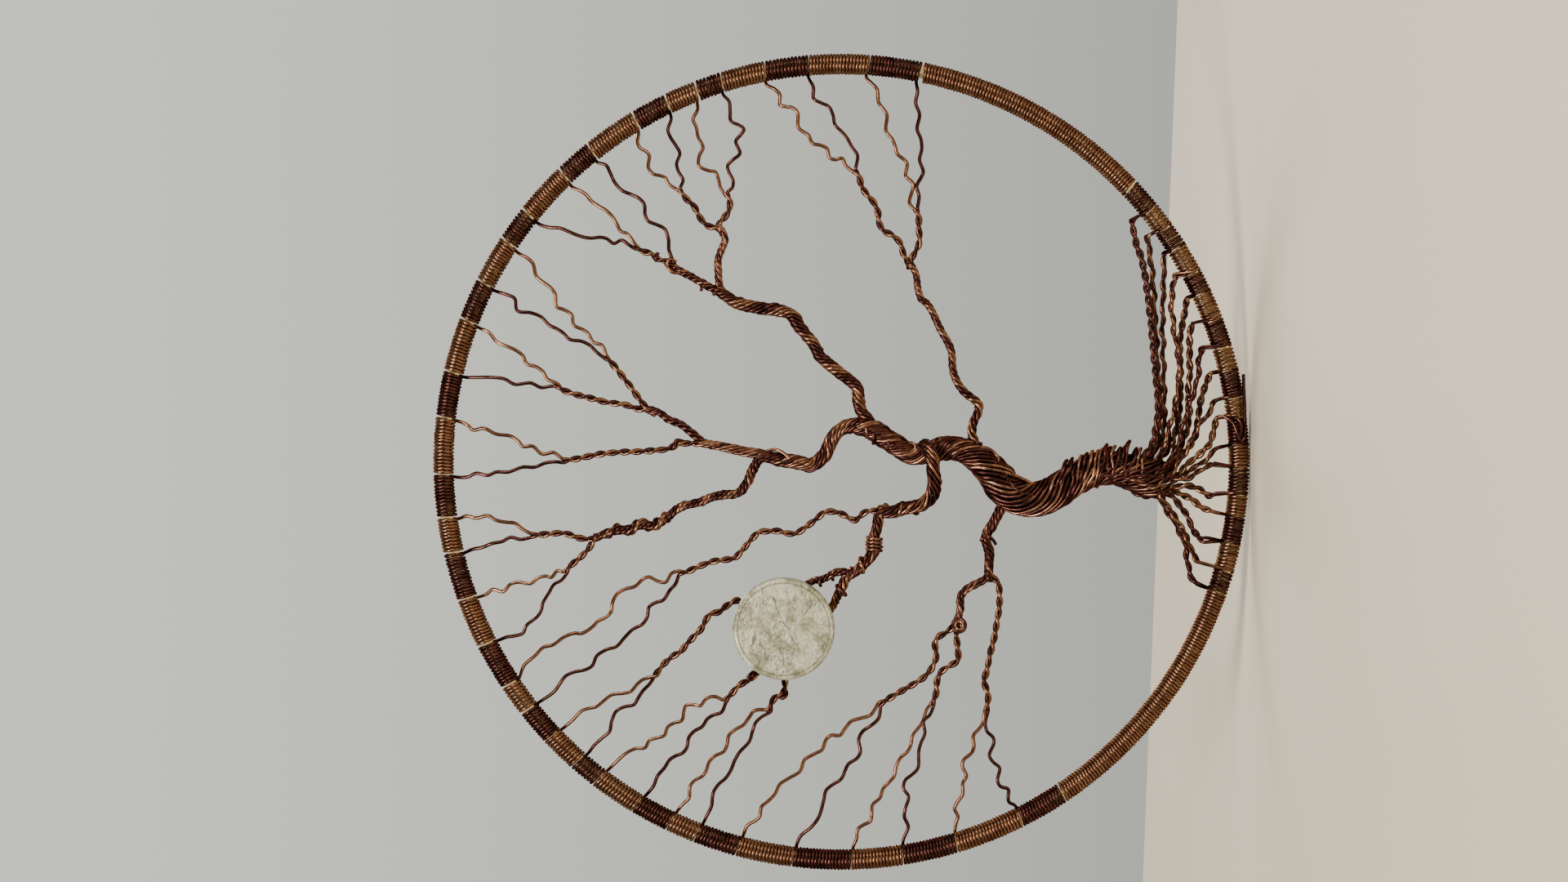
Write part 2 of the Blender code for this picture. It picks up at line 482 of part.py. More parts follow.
def make_long_coils():
    twig_room = math.degrees(TWIG_ROOM / HOOP_R)
    for name, start, end in (
        ("coil_left", ROOT_ANGLES[0], FIRST_TWIG_COIL),
        ("coil_right", TWIG_ANGLES[-1] + twig_room, ROOT_ANGLES[-1] + 360),
    ):
        piece = as_part(coil(name, start, end), BRIGHT_COPPER)
        boolean(piece, ROD_HOLE, "DIFFERENCE")


def make_trunk():
    points = [place(*spot) for _, _, spot in TRUNK]
    widths = [bundle_width(strands, loose) for strands, loose, _ in TRUNK]
    bundle("trunk", points, widths, TRUNK_SIDES, MIXED_COPPER)


def make_crossing_bough():
    points = [place(x, z, -forward * CROSSING_STEP) for x, z, forward in CROSSING]
    bundle("bough_crossing", points, [CROSSING_D] * len(points), THICK_SIDES, MIXED_COPPER, ("trunk",))


def make_boughs():
    for name, (strands, at_tip, route) in BOUGHS.items():
        points = [place(*spot) for spot in route]
        base = bundle_width(strands)
        share = [n / (len(route) - 1) for n in range(len(route))]
        widths = [base * (1 + (at_tip - 1) * s) for s in share]
        sides = THICK_SIDES if strands > 6 else THIN_SIDES
        bundle(name, points, widths, sides, MIXED_COPPER, BOUGH_FORKS[name])


def make_tie():
    """The turns of wire that bind the bough to the stone, as one sleeve round it."""
    ends = [place(*TIE_FROM), place(*TIE_TO)]
    inset = (ends[1] - ends[0]).normalized() * WIRE_D / 2
    ends = [ends[0] + inset, ends[1] - inset]
    bound = BOUGHS["bough_to_stone"][0]
    width = 2 * (flat_to_round(bundle_width(bound), THIN_SIDES) + CLEAR + TIE_WALL)
    tie = as_part(tube("bough_tie", ends, [around(width, TIE_SIDES)] * 2, TIE_SIDES), BRIGHT_COPPER)
    boolean(tie, CLEARANCES["bough_to_stone"], "DIFFERENCE")


def make_cradle():
    """The wire ring behind the stone's rim, and the ring of glue between it and the stone."""
    centre = place(*STONE_AT, CRADLE_Y)
    circle = [
        centre + Vector((math.cos(a), 0, math.sin(a))) * CRADLE_R
        for a in (n * 2 * math.pi / RING_STEPS for n in range(RING_STEPS))
    ]
    ring_r = flat_to_round(WIRE_D, THIN_SIDES)
    as_part(tube("stone_cradle", circle, [ring_r] * RING_STEPS, THIN_SIDES, closed=True), DARK_COPPER)
    outer = CRADLE_R - ring_r - GAP
    near = STONE_BACK_Y + GAP - CRADLE_Y
    far = near + GLUE_THICK
    profile = [(outer, far), (outer, near), (outer - GLUE_WIDTH, near), (outer - GLUE_WIDTH, far)]
    as_part(turned("stone_glue", profile, centre, RING_STEPS, True), GLUE)


def turned(name, profile, centre, steps, ring):
    """A (radius, depth) profile turned round the line through centre that runs front to back."""
    work = bmesh.new()
    corners = [work.verts.new((radius, 0, -depth)) for radius, depth in profile]
    for one, two in zip(corners, corners[1:]):
        work.edges.new((one, two))
    if ring:
        work.edges.new((corners[-1], corners[0]))
    bmesh.ops.spin(
        work, geom=work.verts[:] + work.edges[:], cent=(0, 0, 0), axis=(0, 0, 1),
        angle=2 * math.pi, steps=steps, use_merge=True,
    )
    bmesh.ops.remove_doubles(work, verts=work.verts, dist=0.001 * MM)
    bmesh.ops.recalc_face_normals(work, faces=work.faces)
    for vert in work.verts:
        vert.co = centre + Vector((vert.co.x, -vert.co.z, vert.co.y))
    bmesh.ops.recalc_face_normals(work, faces=work.faces)
    mesh = bpy.data.meshes.new(name)
    work.to_mesh(mesh)
    work.free()
    return bpy.data.objects.new(name, mesh)


def make_stone():
    """A flat-backed round stone with a bevelled rim and a slightly domed face."""
    front = STONE_BACK_Y - STONE_THICK
    rim = STONE_D / 2
    face_r = rim - STONE_BEVEL
    profile = [(0, STONE_BACK_Y), (rim - STONE_BEVEL / 3, STONE_BACK_Y)]
    profile += [(rim, STONE_BACK_Y - STONE_BEVEL / 3), (rim, front + STONE_DOME + STONE_BEVEL)]
    for share in (1.0, 0.75, 0.5, 0.25, 0.0):
        profile.append((face_r * share, front + STONE_DOME * share * share))
    as_part(turned("moon_stone", profile, place(*STONE_AT), STONE_STEPS, False), STONE)


def make_prongs():
    for name, (degrees, route) in PRONGS.items():
        points = [behind_stone(*spot) for spot in route]
        points = from_cradle(degrees, points[::-1])[::-1]
        beside = ("prong_left",) if name == "prong_right" else ()
        widths = [bundle_width(3)] * (len(points) - 2) + [bundle_width(2)] * 2
        bundle(name, points, widths, THIN_SIDES, DARK_COPPER, ("bough_to_stone", *beside))


def twig_tube(number):
    """One wire from inside its own coil to its stem."""
    angle = math.radians(TWIG_ANGLES[number - 1])
    ashore = hoop_point(angle, SUNK - COIL_R)
    clear = hoop_point(angle, -COIL_R - WIRE_D)
    route = [place(*spot) for spot in TWIGS[number]]
    return [ashore, clear] + [p for p in route if (p - clear).length > BARE_END]


def make_twigs():
    room = math.degrees(TWIG_ROOM / HOOP_R)
    ends = [FIRST_TWIG_COIL] + [angle + room for angle in TWIG_ANGLES]
    for name, route in STEMS.items():
        numbers = [int(n) for n in name.split("_")[1:]]
        if name in STEMS_AT_STONE:
            points = from_cradle(STEMS_AT_STONE[name], [behind_stone(*spot) for spot in route])
            clear_of = ()
        else:
            points = [place(*spot) for spot in route]
            clear_of = STEM_FORKS[name]
        width = bundle_width(len(numbers))
        sides = THIN_SIDES if len(numbers) > 1 else WIRE_SIDES
        radii = [flat_to_round(width, sides)] * len(points)
        if len(numbers) == 1:
            points = [points[0]] + twig_tube(numbers[0])[::-1]
            radii = [flat_to_round(WIRE_D, sides)] * len(points)
        CLEARANCES[name] = grown_tube(name, points, radii, sides)
        piece = coil(name, ends[numbers[0] - 1], ends[numbers[-1]])
        as_part(piece, BRIGHT_COPPER if numbers[0] % 2 == 0 else DARK_COPPER)
        boolean(piece, as_cutter(tube(name + "_stem", points, radii, sides)), "UNION")
        if len(numbers) > 1:
            crotch = points[-1] + (points[-2] - points[-1]).normalized() * STEM_START
            for number in numbers:
                wire = twig_tube(number) + [crotch]
                radii = [flat_to_round(WIRE_D, WIRE_SIDES)] * len(wire)
                boolean(piece, as_cutter(tube(f"{name}_wire_{number}", wire, radii, WIRE_SIDES)), "UNION")
        boolean(piece, ROD_HOLE, "DIFFERENCE")
        for other in clear_of:
            boolean(piece, CLEARANCES[other], "DIFFERENCE", folded=True)


def make_roots():
    landing = math.degrees(PAIR_D / HOOP_R)
    for number, route in enumerate(ROOTS, start=1):
        name = f"root_{number:02d}"
        start, end = ROOT_ANGLES[number], ROOT_ANGLES[number - 1]
        points = [place(x, z, lane * LANE) for x, z, lane in route]
        ashore = hoop_point(math.radians(end - landing), SUNK - COIL_R)
        points.append(ashore)
        piece = as_part(coil(name, start, end), BRIGHT_COPPER if number % 2 == 0 else DARK_COPPER)
        radii = [flat_to_round(PAIR_D, THIN_SIDES)] * len(points)
        boolean(piece, as_cutter(tube(name + "_strand", points, radii, THIN_SIDES)), "UNION")
        boolean(piece, ROD_HOLE, "DIFFERENCE")
        boolean(piece, CLEARANCES["trunk"], "DIFFERENCE")


make_long_coils()
make_trunk()
make_crossing_bough()
make_boughs()
make_tie()
make_cradle()
make_stone()
make_prongs()
make_twigs()
make_roots()
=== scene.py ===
"""Tree of life in twisted copper wire, inside a wire-wrapped hoop, with a round stone for a moon.

Metres, +Z up the tree, +X to its right and -Y towards the viewer. Wire routes are millimetres.
"""
import math
import random

import bmesh
import bpy
from mathutils import Matrix, Vector, noise


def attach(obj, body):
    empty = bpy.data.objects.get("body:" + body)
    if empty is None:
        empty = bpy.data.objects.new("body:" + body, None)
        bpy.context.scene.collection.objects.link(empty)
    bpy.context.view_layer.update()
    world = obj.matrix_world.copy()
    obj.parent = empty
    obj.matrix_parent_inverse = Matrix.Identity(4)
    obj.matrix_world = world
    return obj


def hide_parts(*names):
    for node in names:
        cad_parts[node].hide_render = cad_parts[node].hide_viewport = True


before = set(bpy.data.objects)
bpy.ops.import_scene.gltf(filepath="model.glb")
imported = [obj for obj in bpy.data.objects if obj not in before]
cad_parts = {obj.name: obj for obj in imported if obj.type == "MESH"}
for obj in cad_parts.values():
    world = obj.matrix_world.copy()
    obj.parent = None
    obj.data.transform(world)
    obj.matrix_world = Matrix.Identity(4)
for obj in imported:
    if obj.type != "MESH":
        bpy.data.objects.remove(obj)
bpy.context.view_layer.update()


# Hoop: a 3 mm brass rod, bent to a ring and joined. The coils hide it, and it shows only as gold
# glints where their turns part.
rod = bpy.data.objects["hoop_rod"]
gold = bpy.data.materials.new("brass rod")
gold.use_nodes = True
gold.node_tree.nodes["Principled BSDF"].inputs["Base Color"].default_value = (1.0, 0.78, 0.40, 1)
gold.node_tree.nodes["Principled BSDF"].inputs["Metallic"].default_value = 1.0
gold.node_tree.nodes["Principled BSDF"].inputs["Roughness"].default_value = 0.34
rod.data.materials.clear()
rod.data.materials.append(gold)


# Long coils: bright filler wire wound side by side round the hoop, low on the left and the right,
# where no twig ends. Like every wire of the tree it is soft round copper. Each wire here is a line of
# close points with a round bevel.
MM = 0.001
WIRE = 0.8
HOOP_R = 97.4
HOOP_Z = 100.0
TURN_R = 2.2
TURN_POINTS = 12
FRONT, BACK = -1, 1


def copper(name, fresh, tarnished, rough_fresh, rough_tarnished, patch, balance):
    """Copper with tarnish in patches that drift along the wires. A lower balance gives more tarnish."""
    material = bpy.data.materials.new(name)
    material.use_nodes = True
    nodes = material.node_tree.nodes
    link = material.node_tree.links.new
    shader = nodes["Principled BSDF"]
    shader.inputs["Metallic"].default_value = 1.0
    shader.inputs["Specular Tint"].default_value = (0.30, 0.25, 0.24, 1)
    where = nodes.new("ShaderNodeTexCoord")
    drift = nodes.new("ShaderNodeTexNoise")
    drift.inputs["Scale"].default_value = patch
    drift.inputs["Detail"].default_value = 4.0
    drift.inputs["Roughness"].default_value = 0.65
    link(where.outputs["Object"], drift.inputs["Vector"])
    share = nodes.new("ShaderNodeMapRange")
    share.inputs["From Min"].default_value = balance - 0.14
    share.inputs["From Max"].default_value = balance + 0.14
    link(drift.outputs["Fac"], share.inputs["Value"])
    tint = nodes.new("ShaderNodeMix")
    tint.data_type = "RGBA"
    tint.inputs["A"].default_value = (*fresh, 1)
    tint.inputs["B"].default_value = (*tarnished, 1)
    link(share.outputs["Result"], tint.inputs["Factor"])
    link(tint.outputs["Result"], shader.inputs["Base Color"])
    rough = nodes.new("ShaderNodeMapRange")
    rough.inputs["To Min"].default_value = rough_fresh
    rough.inputs["To Max"].default_value = rough_tarnished
    link(share.outputs["Result"], rough.inputs["Value"])
    link(rough.outputs["Result"], shader.inputs["Roughness"])
    scratch = nodes.new("ShaderNodeTexNoise")
    scratch.inputs["Scale"].default_value = 900.0
    scratch.inputs["Detail"].default_value = 1.0
    link(where.outputs["Object"], scratch.inputs["Vector"])
    bump = nodes.new("ShaderNodeBump")
    bump.inputs["Strength"].default_value = 0.04
    bump.inputs["Distance"].default_value = 0.00004
    link(scratch.outputs["Fac"], bump.inputs["Height"])
    link(bump.outputs["Normal"], shader.inputs["Normal"])
    return material


# Bright copper is lightly tarnished, antiqued copper is blackened with the black rubbed thin in
# patches, and aged copper is worn pale between patches of tarnish.
BRIGHT = copper("bright copper", (0.27, 0.135, 0.075), (0.125, 0.050, 0.028), 0.24, 0.34, 330, 0.52)
DARK = copper("antiqued copper", (0.125, 0.046, 0.035), (0.038, 0.014, 0.012), 0.24, 0.34, 420, 0.48)
AGED = copper("aged copper", (0.36, 0.18, 0.11), (0.10, 0.040, 0.028), 0.24, 0.36, 380, 0.50)
TONES = (BRIGHT, DARK, AGED)
LIGHT_WIRE, DARK_WIRE, AGED_WIRE = range(3)
TIGHT_FROM = 92.5
TIGHT_OVER = 2.5


def piece(name, wires, width=0.86, sides=8, free=1.0):
    """One piece made of wires, each a (points, tone) pair, standing in for the node of this name.

    free is how much fuller a wire is away from the hoop than where it is drawn tight round it."""
    curve = bpy.data.curves.new(name.replace("_", "-"), "CURVE")
    curve.dimensions = "3D"
    curve.bevel_depth = width / 2 * MM
    curve.bevel_resolution = sides // 2 - 2
    curve.use_fill_caps = True
    for tone in TONES:
        curve.materials.append(tone)
    for points, tone in wires:
        line = curve.splines.new("POLY")
        line.points.add(len(points) - 1)
        line.points.foreach_set("co", [n for p in points for n in (p[0] * MM, p[1] * MM, p[2] * MM, 1)])
        reaches = [math.hypot(p[0], p[2] - HOOP_Z) for p in points]
        tight = [min(1, max(0, (reach - TIGHT_FROM) / TIGHT_OVER)) for reach in reaches]
        line.points.foreach_set("radius", [share * (1 - free) + free for share in tight])
        line.material_index = tone
        line.use_smooth = True
    made = bpy.data.objects.new(name.replace("_", "-"), curve)
    bpy.context.collection.objects.link(made)
    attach(made, "root")
    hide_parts(name)
    return made


# Angles go round the hoop from its foot, clockwise as seen from the front. Turns near the top are
# spaced less evenly than the rest.
UNEVEN_FROM, UNEVEN_TO = 150, 252
UNEVEN, EVEN = 0.16, 0.07


def wound(land, far, side, pitch, draws, tail=0.75):
    """Turns round the hoop from the angle where a wire lands on it, over its front or back, to another.

    tail is the part of a turn it ends with, so that it lies close to the coil that follows."""
    span = math.radians(far - land)
    turns = max(2, int(abs(span) * HOOP_R / pitch - tail))
    play = UNEVEN if UNEVEN_FROM < (far + land) / 2 < UNEVEN_TO else EVEN
    steps = [draws.uniform(1 - play, 1 + play) for _ in range(turns + 1)]
    whole = sum(steps[:-1]) + tail * steps[-1]
    points = []
    at = math.radians(land)
    for number, step in enumerate(steps):
        reach = TURN_R + draws.uniform(-0.05, 0.06)
        for n in range(TURN_POINTS if number < turns else round(TURN_POINTS * tail) + 1):
            phase = side * (math.pi / 2 + 2 * math.pi * n / TURN_POINTS)
            angle = at + span * step / whole * n / TURN_POINTS
            inward = Vector((math.sin(angle), 0, math.cos(angle)))
            centre = Vector((-math.sin(angle) * HOOP_R, 0, HOOP_Z - math.cos(angle) * HOOP_R))
            points.append(centre + inward * math.cos(phase) * reach + Vector((0, math.sin(phase) * reach, 0)))
        at += span * step / whole
    return points


# HALF_WIRE is half a wire's width as an angle of the hoop, in degrees.
HALF_WIRE = 0.24
FIRST_COIL = 56.5
TWIG_ANGLES = (
    63.0, 72.9, 80.8, 88.2, 96.6, 104.7, 110.9, 115.1, 120.5, 127.2, 131.1, 136.3,
    141.3, 145.8, 152.5, 159.6, 166.5, 171.6, 177.8, 186.0, 192.6, 200.3, 206.2, 213.0,
    218.0, 225.6, 230.9, 238.6, 243.8, 248.4, 252.3, 258.7, 265.0, 273.7, 281.2,
)
ROOT_ANGLES = (
    19.2, 15.8, 11.9, 8.0, 4.7, 0.9, -2.3, -6.5, -9.3, -13.1, -16.7, -20.8, -24.9, -28.2,
    -32.3, -35.8, -39.2, -43.5,
)
filler = wound(FIRST_COIL - HALF_WIRE, ROOT_ANGLES[0], BACK, WIRE, random.Random(2))
piece("coil_left", [(filler, LIGHT_WIRE)], WIRE, 6)
filler = wound(TWIG_ANGLES[-1] + 3 * HALF_WIRE, ROOT_ANGLES[-1] + 360 - HALF_WIRE, BACK, WIRE,
               random.Random(3))
piece("coil_right", [(filler, LIGHT_WIRE)], WIRE, 6)


# Trunk: all the wires twisted together, open at the foot, tighter and thinner towards the top as
# boughs leave it. Loose loops and cut ends stand out of it along its right side.
# A strand strays in and out over about 3 mm, and near the middle it turns no faster than at LEAST_R.
LEAST_R = 0.3
WANDER_OVER = 3.2


def smooth(points, step=0.45):
    """Evenly spaced points on a centripetal Catmull-Rom curve through the given ones."""
    points = [Vector(p) for p in points]
    ends = [2 * points[0] - points[1]] + points + [2 * points[-1] - points[-2]]
    fine = []
    for a, b, c, d in zip(ends, ends[1:], ends[2:], ends[3:]):
        t1 = math.sqrt((b - a).length) + 1e-6
        t2 = t1 + math.sqrt((c - b).length) + 1e-6
        t3 = t2 + math.sqrt((d - c).length) + 1e-6
        pieces = max(2, int((c - b).length / step) + 1)
        for n in range(pieces):
            t = t1 + (t2 - t1) * n / pieces
            ab, bc, cd = a.lerp(b, t / t1), b.lerp(c, (t - t1) / (t2 - t1)), c.lerp(d, (t - t2) / (t3 - t2))
            abc = ab.lerp(bc, t / t2)
            bcd = bc.lerp(cd, (t - t1) / (t3 - t1))
            fine.append(abc.lerp(bcd, (t - t1) / (t2 - t1)))
    return fine + [points[-1]]


def flat(route, depth=0.0):
    """(x, z) or (x, z, y) spots as points of the tree."""
    return [Vector((spot[0], spot[2] if len(spot) > 2 else depth, spot[1])) for spot in route]


def spun(route, radius, phase, lean, draws=None, wander=0.0, step=0.5):
    """A strand of a left-handed twist: radius is (start, end) or a list along the route.

    lean is its angle to the route, and wander how far it strays in and out of the twist."""
    path = smooth(route, step)
    turned = phase
    strand = []
    offset = draws.uniform(0, 100) if draws else 0.0
    for n, point in enumerate(path):
        ahead = path[min(n + 1, len(path) - 1)]
        behind = path[max(n - 1, 0)]
        tangent = (ahead - behind).normalized()
        depth = (Vector((0, 1, 0)) - tangent * tangent.y).normalized()
        side = tangent.cross(depth)
        share = n / (len(path) - 1) * (len(radius) - 1)
        low = min(int(share), len(radius) - 2)
        reach = radius[low] + (radius[low + 1] - radius[low]) * (share - low)
        if n:
            along = (point - path[n - 1]).length
            turned -= along * math.tan(math.radians(lean)) / max(reach, LEAST_R)
        if wander:
            reach += wander * noise.noise(Vector((offset, n * step / WANDER_OVER, 0)))
        strand.append(point + depth * math.cos(turned) * reach + side * math.sin(turned) * reach)
    return strand


def bit(*spots):
    """A short end or binding turn of wire through a few (x, z, y) spots."""
    return smooth(flat(spots), 0.3)


TRUNK = ((-4.4, 22), (-3.6, 25.5), (-2.2, 30), (-1.5, 34.5), (-2.6, 39.5), (-5.4, 44.5), (-8.2, 49),
         (-9.2, 54), (-7.7, 58.6), (-2.7, 62.8), (1.2, 67.1), (3.2, 71.3), (3.3, 75), (2.2, 79), (2, 83),
         (4.8, 87.7), (7.8, 92.5), (9, 96))
TRUNK_W = (9.6, 9.4, 8.6, 8.4, 8.0, 8.2, 8.6, 8.6, 8.6, 8.8, 7.6, 6.4, 5.8, 5.4, 5.2, 5.3, 5.2, 4.6)
OUTER_STRANDS, INNER_STRANDS, CORE_STRANDS = 17, 9, 5
draws = random.Random(11)
rings = [(w - WIRE) / 2 for w in TRUNK_W]
wires = []
inner = [ring - 0.85 for ring in rings]
core = [ring * 0.3 for ring in rings]
for n in range(OUTER_STRANDS):
    tone = draws.choice((DARK_WIRE, AGED_WIRE, LIGHT_WIRE, AGED_WIRE, DARK_WIRE))
    wires.append((spun(flat(TRUNK), rings, 2 * math.pi * n / OUTER_STRANDS, 38, draws, 0.45), tone))
for n in range(INNER_STRANDS):
    strand = spun(flat(TRUNK), inner, 2 * math.pi * n / INNER_STRANDS, 30, draws, 0.3)
    wires.append((strand, draws.choice((DARK_WIRE, DARK_WIRE, AGED_WIRE))))
for n in range(CORE_STRANDS):
    wires.append((spun(flat(TRUNK), core, 2 * math.pi * n / CORE_STRANDS, 15), DARK_WIRE))
wires += [
    (bit((-2.2, 60.5, -2.2), (-3.2, 57.8, -1.8), (-4.3, 55.4, -1.2), (-5.4, 53.4, -1), (-7.2, 52, -1.8)),
     AGED_WIRE),
    (bit((-1.8, 61.5, -3), (-4.6, 59.2, -3.4), (-7.4, 56.5, -3.8), (-8, 53.5, -3.6)), DARK_WIRE),
    (bit((3.6, 66.3, -1.8), (3.4, 64.6, -1.7), (2.6, 63, -1.6), (1.1, 61.8, -1.7), (-0.8, 61.7, -2.2)),
     AGED_WIRE),
    (bit((3.9, 67.6, -0.6), (4.6, 66.4, -0.8), (4.3, 65.6, -0.4)), DARK_WIRE),
    (bit((2.4, 82.2, -1.6), (3.6, 81.9, -2), (4.6, 82.6, -1.6), (4.4, 83.8, -0.8), (3.2, 84.4, -0.4)),
     AGED_WIRE),
    (bit((5.2, 88.6, -2.4), (4, 88.5, -2.1), (2.9, 88.5, -1)), DARK_WIRE),
    (bit((6.8, 92.2, -2.5), (5.4, 92.1, -2.2), (4.4, 92.2, -1)), DARK_WIRE),
    (bit((8.2, 94, -2.2), (7, 93.8, -2), (5.9, 93.8, -0.9)), AGED_WIRE),
]
# Each loop goes from its height on the left, over the front, to its height and reach on the right.
HIGH_TURNS = ((47.6, 44.9, 0.4), (46.3, 43.6, 0.7), (44.4, 42.8, -0.4), (43.2, 41.3, 1.5), (42, 40, 2.1),
              (40.6, 38.7, 2.5))
LOW_TURNS = ((39.2, 37.2, 2.8), (38.2, 36.3, 3.2), (37, 35.2, 4.1), (36, 34.3, 3.7), (34.8, 33.2, 4),
             (33.8, 31.9, 3.3), (32.6, 30.6, 3.7), (31.6, 29.6, 5.1), (30.2, 28, 3.1), (28.8, 26.8, 3.3),
             (27.6, 25.8, 2.4))
for n, (high, low, reach) in enumerate(HIGH_TURNS + LOW_TURNS):
    left = -7.8 if high > 42 else -6.2 if high > 36 else -5.4
    front = -3.7 - 0.35 * (n % 3)
    slip = draws.uniform(-0.6, 0.6)
    nub = bit((left, high + 0.6, -1.6), (left + 1.4, high + 0.2 + slip, front + 1),
              (left + 3.6, high - 0.4 + slip, front), (reach - 2.2, low + 0.9 - slip / 2, front + 0.2),
              (reach - 0.5, low + 0.3, front + 1.5), (reach + slip / 3, low - 0.1, front + 2.8),
              (reach - 0.7, low + 0.3, front + 4.2), (reach - 2.2, low + 0.7, 1.4))
    wires.append((nub, draws.choice((DARK_WIRE, DARK_WIRE, AGED_WIRE, AGED_WIRE))))
piece("trunk", wires)


# Crossing bough: eight wires that leave the trunk's right side, curl across its front with cut
# ends showing at the curl, and run up on the left towards the stone.
BOUGH_TONES = (DARK_WIRE, DARK_WIRE, LIGHT_WIRE, AGED_WIRE, DARK_WIRE, AGED_WIRE)
STRAND_SPACE = WIRE * 1.02
STRAIGHT = 0.02


def twisted(route, widths, lean, seed, wander=0.16, tones=BOUGH_TONES):
    """A bough: as many strands as close the outside of the twist, round a core of the rest."""
    draws = random.Random(seed)
    rings = [(w - WIRE) / 2 for w in widths]
    outer = sum(rings) / len(rings)
    around = max(3, round(2 * math.pi * outer * math.cos(math.radians(lean)) / STRAND_SPACE))
    wires = []
    for n in range(around):
        phase = 2 * math.pi * n / around
        wires.append((spun(route, rings, phase, lean, draws, wander), draws.choice(tones)))
    # A thin twist closes round one straight wire, and a thicker one round three or seven.
    inner = [max(ring - WIRE * 0.8, STRAIGHT) for ring in rings]
    core = 1 if outer < 0.9 else 3 if outer < 1.4 else 7
    for n in range(core):
        reach = [STRAIGHT] * len(inner) if core == 1 else inner
        wires.append((spun(route, reach, 2 * math.pi * n / core, lean * 0.5), DARK_WIRE))
    return wires


CROSSING = ((3.6, 80.6, 0.4), (4.2, 79.6, -2.2), (3.2, 78.8, -4.2), (1, 78, -4.9), (-3, 77.6, -4.3),
            (-6.6, 77.4, -2.4), (-9, 78.4, -0.9), (-10.5, 80.5, 0), (-11.4, 84.5, 0), (-12.3, 87.5, 0),
            (-12.1, 91, 0))
wires = twisted(flat(CROSSING), (2.4, 3.2, 3.5, 3.5, 3.4, 3.3, 3.2), 30, 21, 0.3)
wires.append((spun(flat(((-11, 81.5), (-11.8, 85.6))), (1.75, 1.7), 2, 62, draws, 0.3, 0.3), DARK_WIRE))
wires.append((spun(flat(((-11.6, 85), (-12.2, 89.6))), (1.7, 1.5), 4, 66, draws, 0.4, 0.3), AGED_WIRE))
wires.append((bit((2.2, 80.2, -4.6), (3.8, 80.4, -4.4), (4.7, 79.9, -3.4), (4.7, 79, -2.2), (4, 78.2, -1.6)),
              DARK_WIRE))
wires.append((bit((2.2, 77.4, -5.1), (4, 77.2, -4.4), (5.3, 76.9, -3), (5.6, 76.6, -1.4)), DARK_WIRE))
piece("bough_crossing", wires)


# Low left bough and its fork: six wires, then four, with short spurs of wire standing up. A small
# closed eye is wound where the fork parts.
LOW_LEFT = ((-7.5, 57.5), (-11, 60.5), (-13, 61.7), (-15.5, 63), (-17.5, 64.3), (-19.5, 64.5), (-22, 63.7),
            (-25, 63.8), (-29.3, 63.9))
wires = twisted(flat(LOW_LEFT), (3, 2.6, 2.6, 2.5, 2.2), 32, 31)
wires.append((bit((-17.9, 64.4, -1.2), (-18.6, 63.4, -1.4), (-19.5, 62.6, -1.1), (-20.2, 62.2, -0.7)),
              DARK_WIRE))
wires.append((bit((-17.8, 64.6, -1), (-18.6, 65.3, -1.1), (-19.3, 65.9, -0.6)), DARK_WIRE))
piece("bough_low_left", wires)
LOW_LEFT_FORK = ((-27, 63.6), (-28.5, 64.5), (-29.7, 66.5), (-31, 69), (-33, 70.7), (-36, 70.8),
                 (-38.5, 71.4), (-40.8, 71.8))
wires = twisted(flat(LOW_LEFT_FORK), (1.9, 2.1, 2, 1.9), 28, 32)
for reach, tone in ((0.95, AGED_WIRE), (1.55, DARK_WIRE)):
    eye = [(-39.9 + reach * 1.1 * math.cos(turn), 71.2 + reach * math.sin(turn), -1.1 + 0.5 * math.cos(turn))
           for turn in range(7)]
    wires.append((bit(*eye), tone))
piece("bough_low_left_fork", wires)


# Low right bough: four wires in a long loose twist. It leaves the trunk's right side and steps up to
# the right, until its wires part into two pairs of twigs.
LOW_RIGHT = ((1, 66.6), (5, 67.5), (7, 68), (10, 67.5), (12, 66.5), (14, 66.3), (15.5, 67.8), (17, 69.7),
             (20, 71.8), (23, 72.7), (27, 73), (30, 74.3), (33, 76), (36, 77.3), (38.5, 78.8), (40, 80.5),
             (43, 81.3), (46, 81.7), (49.8, 83.7))
piece("bough_low_right", twisted(flat(LOW_RIGHT), (2.6, 2.2, 2, 1.9, 1.7), 30, 33))


# Bough to the stone: six wires twisted together, bound by a few turns of wire half way along. It
# parts into two prongs just under the stone.
TO_STONE = ((-11.9, 88.8), (-12.9, 90.6), (-16, 91.2), (-19, 92), (-21.5, 91.7), (-23.5, 93), (-25.5, 95),
            (-27.5, 97.3), (-28.4, 98.9))
wires = twisted(flat(TO_STONE), (2.6, 2.7, 2.8, 2.7, 2.2), 30, 34)
wires.append((spun(flat(((-23.6, 93.3), (-27.2, 97))), (1.7, 1.5), 1, 70, random.Random(4), 0.2), AGED_WIRE))
piece("bough_to_stone", wires)
TIE = ((-18.3, 91.95, 0), (-20.2, 91.9, 0), (-22.1, 91.9, 0))
piece("bough_tie", [(spun(flat(TIE), (1.75, 1.85), 0.5, 85.5, random.Random(5), 0.15, 0.12), AGED_WIRE)])


